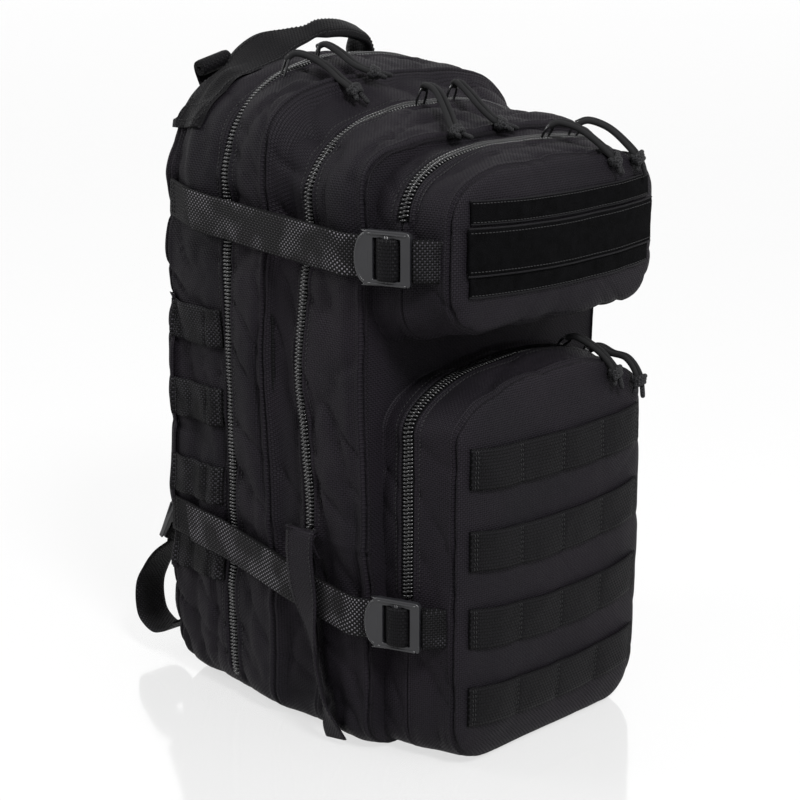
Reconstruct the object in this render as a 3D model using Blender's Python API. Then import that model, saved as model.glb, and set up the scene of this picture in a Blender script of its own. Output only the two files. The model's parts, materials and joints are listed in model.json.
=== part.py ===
"""Trauma backpack: two clamshell compartments, two flap pockets, straps, zippers and buckles.

Metres, +Z up. +X is the right-hand side seen from the front, -Y is the front with the pockets,
+Y is the back that lies against the wearer. The pack stands on z = 0.
"""

import math

import bmesh
import bpy
from mathutils import Matrix, Vector

MM = 0.001
GAP = 0.3 * MM  # between pieces that touch

# Depth of each seam plane along Y
BACK_Y = 99 * MM
REAR_ZIP_Y = 31 * MM
REAR_PIPING_Y = -9 * MM
MIDDLE_ZIP_Y = -43 * MM
FRONT_Y = -92 * MM
UPPER_ZIP_Y = -114 * MM
LOWER_ZIP_Y = -112 * MM
PANEL_Y = -149 * MM

# Fabric and webbing
WALL = 3 * MM  # padded fabric wall
POCKET_WALL = 2.4 * MM
WEBBING = 25 * MM
WEBBING_THICK = 1.4 * MM
ROW_PITCH = 49.5 * MM
CHAIN_WIDTH = 7 * MM
CHAIN_THICK = 1.7 * MM
CORD = 3 * MM

# Fold lines of the pocket flaps, in front of all that is sewn on them, and lower ends of the zippers
FOLD_Y = PANEL_Y - 2.8 * MM
UPPER_FOLD_Z = 331 * MM
LOWER_FOLD_Z = 103.5 * MM
MIDDLE_ZIP_END_Z = 134 * MM
REAR_ZIP_END_Z = 20 * MM

# Straps on the sides
STRAP_X = 108.8 * MM  # inner face of the compression straps
STRAP_THICK = 3 * MM  # the strap and its free tail lie on each other

CORNER_STEPS = 3
ARCH_STEPS = 16

BLACK = (0.018, 0.017, 0.019, 1.0)
WEB_BLACK = (0.024, 0.024, 0.026, 1.0)
PLASTIC = (0.035, 0.036, 0.038, 1.0)
METAL = (0.05, 0.05, 0.052, 1.0)


class Section:
    """Outline of the pack at one depth: round bottom corners, straight sides and an arched top."""

    def __init__(self, half, top, shoulder, power, bottom=0.0, corner=18.0):
        self.half = half * MM
        self.top = top * MM
        self.shoulder = shoulder * MM
        self.power = power
        self.bottom = bottom * MM
        self.corner = corner * MM

    def arch(self, angle, inset=0.0):
        """Point on the arched top, from 0 at the right-hand shoulder to pi at the left."""
        c, s = math.cos(angle), math.sin(angle)
        x = math.copysign(abs(c) ** (2 / self.power), c) * (self.half - inset)
        z = self.shoulder + abs(s) ** (2 / self.power) * (self.top - inset - self.shoulder)
        return x, z

    def arch_at(self, x):
        """Height of the arched top at x, and its slope there."""
        ratio = min(abs(x) / self.half, 0.999)
        rise = self.top - self.shoulder
        height = (1 - ratio ** self.power) ** (1 / self.power)
        slope = -rise / self.half * (ratio / height) ** (self.power - 1)
        return self.shoulder + rise * height, math.copysign(slope, -x)

    def outline(self, inset=0.0):
        """Closed loop of (x, z), anticlockwise seen from the front."""
        corner = max(self.corner - inset, MM)
        across, low = self.half - inset - corner, self.bottom + inset + corner
        points = []
        for i in range(CORNER_STEPS + 1):
            a = -math.pi / 2 + math.pi / 2 * i / CORNER_STEPS
            points.append((across + corner * math.cos(a), low + corner * math.sin(a)))
        for i in range(ARCH_STEPS + 1):
            points.append(self.arch(math.pi * i / ARCH_STEPS, inset))
        for i in range(CORNER_STEPS + 1):
            a = math.pi + math.pi / 2 * i / CORNER_STEPS
            points.append((-across + corner * math.cos(a), low + corner * math.sin(a)))
        return points


REAR_ZIP = Section(105, 412, 330, 2.3)
REAR_PIPING = Section(107.5, 402, 355, 3.3)
MIDDLE_ZIP = Section(105.5, 387, 330, 2.25)
FRONT_EDGE = Section(105, 375, 345, 3.8)
UPPER_POCKET = Section(98, 370, 325, 2.8, bottom=262, corner=22)
UPPER_PANEL = Section(90, 363, 325, 2.8, bottom=268, corner=24)
LOWER_POCKET = Section(90, 240, 205, 2.0, bottom=2, corner=20)
LOWER_PANEL = Section(84, 235, 205, 2.4, bottom=4, corner=22)


def clear_scene():
    for old in list(bpy.data.objects):
        bpy.data.objects.remove(old, do_unlink=True)


def material(name, colour, roughness, metallic=0.0):
    made = bpy.data.materials.new(name)
    made.use_nodes = True
    shader = made.node_tree.nodes["Principled BSDF"]
    shader.inputs["Base Color"].default_value = colour
    shader.inputs["Roughness"].default_value = roughness
    shader.inputs["Metallic"].default_value = metallic
    return made


def fabric(name):
    return material(name, BLACK, 0.85)


def webbing(name):
    return material(name, WEB_BLACK, 0.75)


def plastic(name):
    return material(name, PLASTIC, 0.4)


def place(name, data, look):
    piece = bpy.data.objects.new(name, data)
    bpy.context.scene.collection.objects.link(piece)
    data.materials.append(look)
    return piece


def from_bmesh(name, bm, look):
    bmesh.ops.recalc_face_normals(bm, faces=bm.faces)
    mesh = bpy.data.meshes.new(name)
    bm.to_mesh(mesh)
    bm.free()
    return place(name, mesh, look)


def add_ring(bm, points):
    return [bm.verts.new(p) for p in points]


def bridge(bm, first, second):
    count = len(first)
    for i in range(count):
        j = (i + 1) % count
        bm.faces.new((first[i], first[j], second[j], second[i]))


def section_ring(bm, section, y, inset):
    return add_ring(bm, [(x, y, z) for x, z in section.outline(inset)])


def lofted(name, stations, wall, look, closed=True):
    """Fabric shell through (y, section, inset) stations; the first end is open, the last one closed."""
    bm = bmesh.new()
    outer = [section_ring(bm, s, y, inset) for y, s, inset in stations]
    last = stations[-1][0]
    floor = last + math.copysign(wall, stations[0][0] - last) if closed else last
    nearest = max if stations[0][0] > last else min
    inner = [section_ring(bm, s, nearest(y, floor), inset + wall) for y, s, inset in stations]
    for rings in (outer, inner):
        for first, second in zip(rings, rings[1:]):
            bridge(bm, first, second)
    bridge(bm, outer[0], inner[0])
    if closed:
        bm.faces.new(outer[-1])
        bm.faces.new(inner[-1])
    else:
        bridge(bm, outer[-1], inner[-1])
    return from_bmesh(name, bm, look)


def plate(name, section, inset, y_front, y_back, look):
    bm = bmesh.new()
    front = section_ring(bm, section, y_front, inset)
    back = section_ring(bm, section, y_back, inset)
    bridge(bm, front, back)
    bm.faces.new(front)
    bm.faces.new(back)
    return from_bmesh(name, bm, look)


def swept(name, frames, look):
    """Solid through a list of four-cornered frames, closed at both ends."""
    bm = bmesh.new()
    rings = [add_ring(bm, frame) for frame in frames]
    for first, second in zip(rings, rings[1:]):
        bridge(bm, first, second)
    bm.faces.new(rings[0])
    bm.faces.new(rings[-1])
    return from_bmesh(name, bm, look)


def band(name, route, across, width, thick, look):
    """Flat band of constant width along a route; `across` is the direction of its width."""
    half = Vector(across).normalized() * (width / 2)
    points = [Vector(p) for p in route]
    frames = []
    for i, point in enumerate(points):
        along = points[min(i + 1, len(points) - 1)] - points[max(i - 1, 0)]
        up = along.cross(half).normalized() * (thick / 2)
        frames.append([point - half - up, point + half - up, point + half + up, point - half + up])
    return swept(name, frames, look)


def zipper_half(name, section, y_edge, y_far, z_low):
    """Half of a zipper chain, lying on the outside of the arch of a section."""
    inner, outer = -GAP, -GAP - CHAIN_THICK
    angles = [math.pi * i / (2 * ARCH_STEPS) for i in range(2 * ARCH_STEPS + 1)]
    angles = [a for a in angles if section.arch(a)[1] > z_low]
    inside = [section.arch(a, inner) for a in angles]
    outside = [section.arch(a, outer) for a in angles]
    right_in, right_out = (section.half - inner, z_low), (section.half - outer, z_low)
    left_in, left_out = (-right_in[0], z_low), (-right_out[0], z_low)
    pairs = zip([right_in, *inside, left_in], [right_out, *outside, left_out])
    frames = []
    for (xi, zi), (xo, zo) in pairs:
        frames.append([(xi, y_edge, zi), (xo, y_edge, zo), (xo, y_far, zo), (xi, y_far, zi)])
    return swept(name, frames, material(name, METAL, 0.5))


def cutter(name, low, high):
    bm = bmesh.new()
    bmesh.ops.create_cube(bm, size=1.0)
    size = Vector(high) - Vector(low)
    centre = (Vector(high) + Vector(low)) / 2
    for v in bm.verts:
        v.co = Vector(a * b for a, b in zip(v.co, size)) + centre
    block = from_bmesh(name, bm, fabric(name))
    block.hide_render = True
    block.display_type = "WIRE"
    return block


def combine(piece, other, operation):
    step = piece.modifiers.new(other.name, "BOOLEAN")
    step.operation = operation
    step.object = other
    step.solver = "EXACT"


def on_hinge(piece, x, y, z):
    """Moves a piece's origin to its joint without moving the piece."""
    pivot = Vector((x, y, z))
    piece.data.transform(Matrix.Translation(-pivot))
    piece.location = pivot


# ---- Compartments ----

def rear_half():
    """Back body: rear half of the rear compartment, its padding and the sleeve inside."""
    edge = REAR_ZIP_Y + GAP / 2
    stations = [
        (edge, REAR_ZIP, 0),
        (71 * MM, Section(104, 409, 330, 2.3), 0),
        (89 * MM, Section(102, 404, 328, 2.4, bottom=1), 0),
        (96 * MM, Section(98, 397, 325, 2.4, bottom=5), 0),
        (BACK_Y, Section(90, 386, 320, 2.4, bottom=12), 0),
    ]
    lofted("rear_shell", stations, WALL, fabric("rear_shell"))
    pad = Section(74, 376, 340, 3.0, bottom=22, corner=20)
    back_pad = plate("back_pad", pad, 0, BACK_Y + GAP, BACK_Y + 8 * MM, fabric("back_pad"))
    lumbar = Section(48, 84, 70, 3.0, bottom=27, corner=12)
    raised = plate("lumbar_face", lumbar, 0, BACK_Y + 4 * MM, BACK_Y + 9 * MM, fabric("lumbar_face"))
    raised.hide_render = True
    raised.display_type = "WIRE"
    combine(back_pad, raised, "UNION")
    sleeve = Section(88, 250, 235, 4.0, bottom=18, corner=12)
    plate("inner_sleeve", sleeve, 0, 84 * MM, 85.5 * MM, fabric("inner_sleeve"))


def middle_part():
    """Middle body: front half of the rear compartment, the divider and the back of the middle one."""
    stations = [
        (REAR_ZIP_Y - GAP / 2, REAR_ZIP, 0),
        (REAR_ZIP_Y - 5 * MM, REAR_ZIP, 0),
        (REAR_PIPING_Y, REAR_PIPING, 0),
        (MIDDLE_ZIP_Y + 6 * MM, MIDDLE_ZIP, 0),
        (MIDDLE_ZIP_Y + GAP / 2, MIDDLE_ZIP, 0),
    ]
    lofted("middle_shell", stations, WALL, fabric("middle_shell"), closed=False)
    divider_y = REAR_PIPING_Y
    plate("divider_panel", REAR_PIPING, WALL + 2.2 * MM, divider_y - MM, divider_y + MM,
          fabric("divider_panel"))


def front_part():
    """Front body: front half of the middle compartment."""
    stations = [
        (MIDDLE_ZIP_Y - GAP / 2, MIDDLE_ZIP, 0),
        (MIDDLE_ZIP_Y - 6 * MM, MIDDLE_ZIP, 0),
        (FRONT_Y + 7 * MM, FRONT_EDGE, 0),
        (FRONT_Y + 2 * MM, FRONT_EDGE, 2.5 * MM),
        (FRONT_Y, FRONT_EDGE, 6 * MM),
    ]
    lofted("front_shell", stations, WALL, fabric("front_shell"))


def zippers():
    half = CHAIN_WIDTH / 2
    edge = GAP / 2
    rows = (
        ("rear_zipper", REAR_ZIP, REAR_ZIP_Y, REAR_ZIP_END_Z),
        ("middle_zipper", MIDDLE_ZIP, MIDDLE_ZIP_Y, MIDDLE_ZIP_END_Z),
        ("upper_zipper", UPPER_POCKET, UPPER_ZIP_Y, UPPER_FOLD_Z + GAP),
        ("lower_zipper", LOWER_POCKET, LOWER_ZIP_Y, LOWER_FOLD_Z + GAP),
    )
    for name, section, y, z_low in rows:
        zipper_half(name + "_back", section, y + edge, y + half, z_low)
        zipper_half(name + "_front", section, y - edge, y - half, z_low)


# ---- Pockets ----

def pocket_blank(name, section, panel, zip_y):
    """Whole pocket, open towards the pack, before its flap is parted from it."""
    stations = [
        (FRONT_Y - GAP, section, 0),
        (zip_y - 6 * MM, section, 0),
        (PANEL_Y + 8 * MM, panel, 0),
        (PANEL_Y + 2 * MM, panel, 1.5 * MM),
        (PANEL_Y, panel, 5 * MM),
    ]
    return lofted(name, stations, POCKET_WALL, fabric(name))


def strap_tab(name, side, route_z, front, rear):
    """Stub of webbing that holds a ladder lock, sewn into the edge of the pocket."""
    (x0, y0), (x1, y1) = front, rear
    route = [(side * x0, y0, route_z), (side * x1, y1, route_z)]
    tab = band(name, route, (0, 0, 1), WEBBING - MM, 1.8 * MM, webbing(name))
    tab.hide_render = True
    tab.display_type = "WIRE"
    return tab


def pocket(prefix, section, panel, zip_y, fold_z, tab_z, tab_front, tab_rear):
    """Pocket with a flap: above the fold line, what lies in front of the zipper opens."""
    reach = 200 * MM
    fixed = pocket_blank(prefix + "_pocket", section, panel, zip_y)
    flap = pocket_blank(prefix + "_flap", section, panel, zip_y)
    opening = cutter(prefix + "_opening", (-reach, -reach, fold_z), (reach, zip_y + GAP / 2, reach * 3))
    kept = cutter(prefix + "_kept", (-reach, -reach, fold_z + GAP), (reach, zip_y - GAP / 2, reach * 3))
    combine(fixed, opening, "DIFFERENCE")
    combine(flap, kept, "INTERSECT")
    for side in (-1, 1):
        tab = strap_tab(f"{prefix}_tab_{side}", side, tab_z, tab_front, tab_rear)
        combine(fixed, tab, "UNION")
    on_hinge(flap, 0, FOLD_Y, fold_z + GAP / 2)


def ladder_of_rows():
    """Four rows of load-carrying webbing on the lower pocket, each bulging between its bartacks."""
    columns, column = 4, 37 * MM
    steps = 4
    half = columns * column / 2
    for row in range(4):
        low = 28 * MM + row * ROW_PITCH
        frames = []
        for i in range(columns * steps + 1):
            x = -half + column * i / steps
            bulge = 0.9 * MM * abs(math.sin(math.pi * i / steps))
            back = PANEL_Y - GAP - bulge
            front = back - WEBBING_THICK
            frames.append([(x, back, low), (x, front, low), (x, front, low + WEBBING), (x, back, low + WEBBING)])
        swept(f"pocket_webbing_{4 - row}", frames, webbing(f"pocket_webbing_{4 - row}"))


def loop_strips():
    """Hook-and-loop panel of the upper pocket: the top strip is on the flap."""
    rows = (("loop_strip_top", 333, 346, 76), ("loop_strip_middle", 306, 330, 80), ("loop_strip_bottom", 292, 304, 78))
    for name, low, high, half in rows:
        x, low, high = half * MM, low * MM, high * MM
        near, far = PANEL_Y - GAP, PANEL_Y - 2.4 * MM
        frames = [[(s * x, near, low), (s * x, far, low), (s * x, far, high), (s * x, near, high)] for s in (-1, 1)]
        swept(name, frames, fabric(name))


# ---- Straps ----

def side_webbing():
    """Rows on the side of the rear compartment, held by the seam strip at their back edge."""
    thick = 1.5 * MM
    inner = 105.3 * MM
    front, back, seam = 40 * MM, 94 * MM, 88 * MM
    for side, label in ((-1, "left"), (1, "right")):
        frames = [(back, 78 * MM, 260 * MM), (seam, 78 * MM, 260 * MM)]
        corners = []
        for y, low, high in frames:
            corners.append([(side * inner, y, low), (side * (inner + thick), y, low),
                            (side * (inner + thick), y, high), (side * inner, y, high)])
        strip = swept(f"side_webbing_{label}", corners, webbing(f"side_webbing_{label}"))
        for row in range(4):
            low = 79 * MM + row * 51.5 * MM
            middle = low + WEBBING / 2
            route = [(side * (inner + thick / 2), back - MM, middle), (side * (inner + thick / 2), front, middle)]
            loop = band(f"side_row_{label}_{row}", route, (0, 0, 1), WEBBING, thick, webbing("side_row"))
            loop.hide_render = True
            loop.display_type = "WIRE"
            combine(strip, loop, "UNION")


def compression_straps():
    """Straps from the back seam along the sides to the ladder locks, with their tails folded back."""
    x = STRAP_X + STRAP_THICK / 2
    heights = {"upper": (325, 319, 313), "lower": (115, 110, 96)}
    for level, (back_z, middle_z, front_z) in heights.items():
        for side, label in ((-1, "left"), (1, "right")):
            name = f"{level}_compression_strap_{label}"
            route = [
                (side * x, 94 * MM, back_z * MM),
                (side * x, 40 * MM, middle_z * MM),
                (side * x, -30 * MM, (front_z + 3) * MM),
                (side * x, -80 * MM, front_z * MM),
            ]
            band(name, route, (0, 0, 1), WEBBING, STRAP_THICK, webbing(name))


def keeper_straps():
    """Upright straps that hold the lower compression straps to the bottom of the pack."""
    x = STRAP_X + STRAP_THICK + 1.5 * MM
    for side, label in ((-1, "left"), (1, "right")):
        name = f"keeper_strap_{label}"
        route = [(side * x, -48 * MM, 134 * MM), (side * x, -50 * MM, 85 * MM), (side * (x - 2 * MM), -62 * MM, 12 * MM)]
        band(name, route, (0, 1, 0), WEBBING, WEBBING_THICK, webbing(name))


def carry_handle():
    """Band sewn over both top corners, free in the middle as the carry handle."""
    over = Section(107.5, 414.5, 330, 2.3)
    route = [(x * MM, 78 * MM, over.arch_at(x * MM)[0]) for x in (-94, -88, -80, -68, -56)]
    arch = ((-40, 76, 414), (-18, 72, 423), (6, 69, 430), (30, 68, 432), (52, 71, 424))
    route += [(x * MM, y * MM, z * MM) for x, y, z in arch]
    route += [(x * MM, 78 * MM, over.arch_at(x * MM)[0]) for x in (68, 80, 88, 94)]
    band("carry_handle", route, (0, 1, 0), 36 * MM, 3 * MM, webbing("carry_handle"))


def shoulder_straps():
    """Padded straps hanging down the back, each with a ladder lock and a loop of webbing below it."""
    pad_thick = 12 * MM
    for side, label in ((-1, "left"), (1, "right")):
        pad_route = [(side * x * MM, y * MM, z * MM) for x, y, z in
                     ((40, 114.5, 368), (42, 116, 330), (44, 117, 270), (46, 117, 200), (53, 118, 150), (62, 121, 112))]
        band(f"shoulder_strap_{label}", pad_route, (1, 0, 0), 54 * MM, pad_thick, fabric(f"shoulder_strap_{label}"))
        loop_route = [(side * x * MM, y * MM, z * MM) for x, y, z in
                      ((78, 143, 63), (81, 149, 52), (84, 151, 42), (86, 149, 30), (88, 142, 21), (90, 126, 17),
                       (90, 112, 22), (90, 103, 30))]
        band(f"shoulder_webbing_{label}", loop_route, (1, 0, 0), WEBBING, 2.5 * MM,
             webbing(f"shoulder_webbing_{label}"))


# ---- Buckles and zip pulls ----

LOCK_LENGTH = 42 * MM
LOCK_WIDTH = 36 * MM
LOCK_THICK = 4.4 * MM


def closed_spline(curve, points):
    spline = curve.splines.new("POLY")
    spline.points.add(len(points) - 1)
    for point, (x, y) in zip(spline.points, points):
        point.co = (x, y, 0, 1)
    spline.use_cyclic_u = True


def ladder_lock_curve(name):
    """Frame with two windows and a half-round lever; the stub's bar is at its origin."""
    half, bar = LOCK_WIDTH / 2, 3 * MM
    curve = bpy.data.curves.new(name, "CURVE")
    curve.dimensions = "2D"
    curve.fill_mode = "BOTH"
    curve.extrude = LOCK_THICK / 2
    lever_start = 28 * MM
    lever = LOCK_LENGTH - bar - lever_start
    outline = [(-bar, -half), (lever_start, -half)]
    for i in range(9):
        a = -math.pi / 2 + math.pi * i / 8
        outline.append((lever_start + lever * math.cos(a), half * 0.95 * math.sin(a)))
    outline += [(lever_start, half), (-bar, half)]
    closed_spline(curve, outline)
    window = half - 4 * MM
    for low, high in ((2 * MM, 10 * MM), (14 * MM, 22 * MM)):
        closed_spline(curve, [(low, -window), (high, -window), (high, window), (low, window)])
    return curve


def ladder_lock(name, bar, rear, across):
    """Ladder lock whose stub bar is at `bar` and whose lever points to `rear`."""
    along = (Vector(rear) - Vector(bar)).normalized()
    across = Vector(across)
    normal = along.cross(across)
    lock = place(name, ladder_lock_curve(name), plastic(name))
    frame = Matrix((along, across, normal)).transposed().to_4x4()
    frame.translation = Vector(bar)
    lock.matrix_world = frame


def ladder_locks():
    for side, label in ((-1, "left"), (1, "right")):
        ladder_lock(f"upper_ladder_lock_{label}", (side * 103.5 * MM, -124 * MM, 312 * MM),
                    (side * 116 * MM, -82 * MM, 312 * MM), (0, 0, side))
        ladder_lock(f"lower_ladder_lock_{label}", (side * 98.5 * MM, -127 * MM, 91 * MM),
                    (side * 115 * MM, -82 * MM, 91 * MM), (0, 0, side))
        ladder_lock(f"shoulder_ladder_lock_{label}", (side * 68 * MM, 124.5 * MM, 105 * MM),
                    (side * 68 * MM, 135 * MM, 84 * MM), (side, 0, 0))


def slider(name, section, zip_y, x):
    """Zip slider on the arch of a section: a plate over the chain with a bail for the pull."""
    z, slope = section.arch_at(x * MM)
    along = Vector((1, 0, slope)).normalized()
    normal = Vector((-along.z, 0, along.x))
    curve = bpy.data.curves.new(name, "CURVE")
    curve.dimensions = "2D"
    curve.fill_mode = "BOTH"
    curve.extrude = 4.4 * MM
    closed_spline(curve, [(a * MM, b * MM) for a, b in
                          ((-6, 0), (6, 0), (6, 1.8), (4.5, 2.2), (4, 4.6), (-4, 4.6), (-4.5, 2.2), (-6, 1.8))])
    closed_spline(curve, [(a * MM, b * MM) for a, b in ((-2.8, 1.9), (2.8, 1.9), (2.5, 3.5), (-2.5, 3.5))])
    piece = place(name, curve, material(name, METAL, 0.3, 1.0))
    frame = Matrix((along, normal, along.cross(normal))).transposed().to_4x4()
    frame.translation = Vector((x * MM, zip_y, z)) + normal * (CHAIN_THICK + 3 * GAP)
    piece.matrix_world = frame


def smooth_route(points, spacing):
    """Points a spacing apart on the smooth curve through a route."""
    knots = [Vector(p) * MM for p in points]
    ends = [2 * knots[0] - knots[1], *knots, 2 * knots[-1] - knots[-2]]
    fine = []
    for a, b, c, d in zip(ends, ends[1:], ends[2:], ends[3:]):
        for i in range(16):
            t = i / 16
            fine.append(((2 * b) + (c - a) * t + (2 * a - 5 * b + 4 * c - d) * t * t
                         + (3 * b - a - 3 * c + d) * t ** 3) / 2)
    fine.append(knots[-1])
    kept, travelled = [fine[0]], 0.0
    for first, second in zip(fine, fine[1:]):
        travelled += (second - first).length
        if travelled >= spacing:
            kept.append(second)
            travelled = 0.0
    kept[-1] = fine[-1]
    return kept


def pull(name, route):
    """Cord pull of a slider."""
    curve = bpy.data.curves.new(name, "CURVE")
    curve.dimensions = "3D"
    curve.bevel_depth = CORD / 2
    curve.bevel_resolution = 2
    curve.use_fill_caps = True
    points = smooth_route(route, 2.5 * CORD)
    spline = curve.splines.new("POLY")
    spline.points.add(len(points) - 1)
    for point, place_at in zip(spline.points, points):
        point.co = (*place_at, 1)
    place(name, curve, fabric(name))


# Sliders: name, section, plane, x in mm; and the route of each pull in mm, from bail to tail
SLIDERS = (
    ("rear_slider_left", REAR_ZIP, REAR_ZIP_Y, -61),
    ("rear_slider_right", REAR_ZIP, REAR_ZIP_Y, -34),
    ("middle_slider_left", MIDDLE_ZIP, MIDDLE_ZIP_Y, -14),
    ("middle_slider_right", MIDDLE_ZIP, MIDDLE_ZIP_Y, 12),
    ("upper_slider_left", UPPER_POCKET, UPPER_ZIP_Y, 21),
    ("upper_slider_right", UPPER_POCKET, UPPER_ZIP_Y, 46),
    ("lower_slider_left", LOWER_POCKET, LOWER_ZIP_Y, 44),
    ("lower_slider_right", LOWER_POCKET, LOWER_ZIP_Y, 68),
)

PULLS = (
    ("rear_pull_left", ((-60, 25, 412), (-56, 20, 416), (-49, 12, 413), (-46, 0, 407), (-47, -12, 401),
                        (-48, -24, 396), (-49, -33, 389))),
    ("rear_pull_right", ((-34, 25, 418), (-31, 20, 420), (-29, 10, 416), (-30, -6, 409), (-27, -19, 405),
                         (-20, -27, 402))),
    ("middle_pull_left", ((-14, -49, 396), (-16, -54, 399), (-19, -66, 396), (-26, -81, 386), (-33, -93, 378),
                          (-36, -101, 375), (-38, -108, 374))),
    ("middle_pull_right", ((12, -49, 396), (11, -54, 399), (9, -66, 393), (6, -80, 385), (6, -92, 378),
                           (14, -101, 373))),
    ("upper_pull_left", ((21, -120, 377), (25, -125, 379), (31, -134, 376), (38, -143, 368), (44, -152, 358),
                         (48, -155, 348))),
    ("upper_pull_right", ((46, -120, 376), (52, -125, 378), (59, -134, 374), (64, -143, 366), (67, -152, 356),
                          (67, -155, 346))),
    ("lower_pull_left", ((44, -118, 243), (46, -124, 244), (48, -133, 241), (50, -143, 235), (51, -152, 226),
                         (51, -155, 215))),
    ("lower_pull_right", ((68, -118, 233), (70, -124, 234), (71, -133, 231), (73, -144, 229), (73, -153, 219),
                          (71, -155, 206))),
)


def build():
    clear_scene()
    rear_half()
    middle_part()
    front_part()
    zippers()
    pocket("upper", UPPER_POCKET, UPPER_PANEL, UPPER_ZIP_Y, UPPER_FOLD_Z, 314 * MM,
           (88 * MM, -141.5 * MM), (101.5 * MM, -127.8 * MM))
    pocket("lower", LOWER_POCKET, LOWER_PANEL, LOWER_ZIP_Y, LOWER_FOLD_Z, 91 * MM,
           (82.5 * MM, -141.5 * MM), (96.5 * MM, -130.8 * MM))
    ladder_of_rows()
    loop_strips()
    side_webbing()
    compression_straps()
    keeper_straps()
    carry_handle()
    shoulder_straps()
    ladder_locks()
    for name, section, y, x in SLIDERS:
        slider(name, section, y, x)
    for name, route in PULLS:
        pull(name, route)


build()
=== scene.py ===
"""Looks of the trauma backpack: woven shells, zippers, webbing, buckles and cord pulls.

Metres, in the frame of the CAD model: +X right seen from the front, -Y the front, +Z up.
Soft pieces are laid out on sections of the pack, then moved by `settle`, the pack's own slump.
"""

import json
import math

import bpy
import numpy as np
from mathutils import Matrix, Vector
from mathutils.bvhtree import BVHTree
from mathutils.kdtree import KDTree

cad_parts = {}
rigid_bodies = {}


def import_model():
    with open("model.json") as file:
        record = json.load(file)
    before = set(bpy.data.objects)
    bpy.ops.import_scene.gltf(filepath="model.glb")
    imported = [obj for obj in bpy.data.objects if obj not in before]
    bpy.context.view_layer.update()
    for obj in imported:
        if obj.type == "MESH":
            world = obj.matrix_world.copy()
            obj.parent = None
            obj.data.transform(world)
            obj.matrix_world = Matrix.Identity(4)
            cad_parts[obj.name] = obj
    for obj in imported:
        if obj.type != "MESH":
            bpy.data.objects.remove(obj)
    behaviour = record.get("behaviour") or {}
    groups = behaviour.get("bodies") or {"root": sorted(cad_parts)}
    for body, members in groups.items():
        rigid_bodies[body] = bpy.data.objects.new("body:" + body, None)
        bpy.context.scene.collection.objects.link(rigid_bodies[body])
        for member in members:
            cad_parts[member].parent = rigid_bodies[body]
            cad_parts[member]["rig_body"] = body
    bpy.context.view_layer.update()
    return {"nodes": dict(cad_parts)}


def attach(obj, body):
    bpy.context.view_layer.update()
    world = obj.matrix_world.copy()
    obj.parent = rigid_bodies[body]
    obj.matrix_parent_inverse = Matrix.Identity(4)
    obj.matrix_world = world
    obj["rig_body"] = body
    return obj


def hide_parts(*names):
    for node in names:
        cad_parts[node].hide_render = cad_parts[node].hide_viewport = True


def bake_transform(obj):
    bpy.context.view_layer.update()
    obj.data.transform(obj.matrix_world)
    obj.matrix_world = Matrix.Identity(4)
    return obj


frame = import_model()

MM = 0.001
AROUND = 420  # points round each loop of a shell
LEFT_RIGHT = ((-1, "left"), (1, "right"))

# Planes of the zippers and of the pockets' front panels, and the heights where the flaps fold
REAR_ZIP_Y = 31 * MM
MIDDLE_ZIP_Y = -43 * MM
UPPER_ZIP_Y = -114 * MM
LOWER_ZIP_Y = -112 * MM
PANEL_Y = -149 * MM
UPPER_FOLD_Z = 331 * MM
LOWER_FOLD_Z = 103.5 * MM
MIDDLE_ZIP_END_Z = 134 * MM
WEBBING = 25 * MM
CORD = 3.4 * MM
BODY_CLOTH = 2.2 * MM
POCKET_CLOTH = 1.8 * MM
REAR_ZIP, PIPING, MIDDLE_ZIP, FRONT_SEAM, BACK_SEAM = 31, -9, -43, -91, 92  # mm along Y
GUSSET_TOP = 130  # mm, the cross seam where the middle zipper ends

# Outline of the pack at each depth, in mm: y, half width, top, shoulder, power, bottom, corner
BODY_KEYS = (
    (-92, 104, 374, 342, 3.6, 1, 22),
    (-80, 106.5, 376.5, 343, 3.6, 0, 20),
    (-43, 105.5, 387.5, 330, 2.25, 0, 20),
    (-9, 108.5, 402.5, 352, 3.1, 0, 20),
    (31, 105.5, 412.5, 330, 2.42, 0, 22),
    (71, 104, 410.5, 330, 2.65, 0, 24),
    (89, 103.5, 405.5, 328, 2.75, 1.5, 28),
    (96, 101.5, 401, 326, 2.75, 5, 30),
    (99, 96, 392, 323, 2.75, 12, 32),
)
UPPER_KEYS = (
    (-152, 87, 361, 325, 3.0, 270, 26),
    (-138, 93, 366, 325, 2.9, 266, 28),
    (-114, 98, 370.5, 325, 2.8, 261, 24),
    (-92, 99, 371, 325, 2.8, 257, 24),
)
LOWER_KEYS = (
    (-152, 83.5, 234, 203, 2.3, 3, 30),
    (-138, 87, 238, 205, 2.1, 1.5, 26),
    (-112, 91, 240.5, 205, 2.0, 0.5, 22),
    (-92, 92.5, 241.5, 205, 2.0, 0.5, 20),
)


# ---- Numbers ----

def smooth(low, high, value):
    """0 below low, 1 above high, and a soft step between."""
    t = np.clip((value - low) / (high - low), 0, 1)
    return t * t * (3 - 2 * t)


def bell(value, centre, width):
    """Soft bump of height 1."""
    return np.exp(-(((value - centre) / width) ** 2))


GRADIENTS = np.random.default_rng(7).normal(size=(256, 3))
GRADIENTS /= np.linalg.norm(GRADIENTS, axis=1)[:, None]
SHUFFLE = np.random.default_rng(11).permutation(256)


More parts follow.
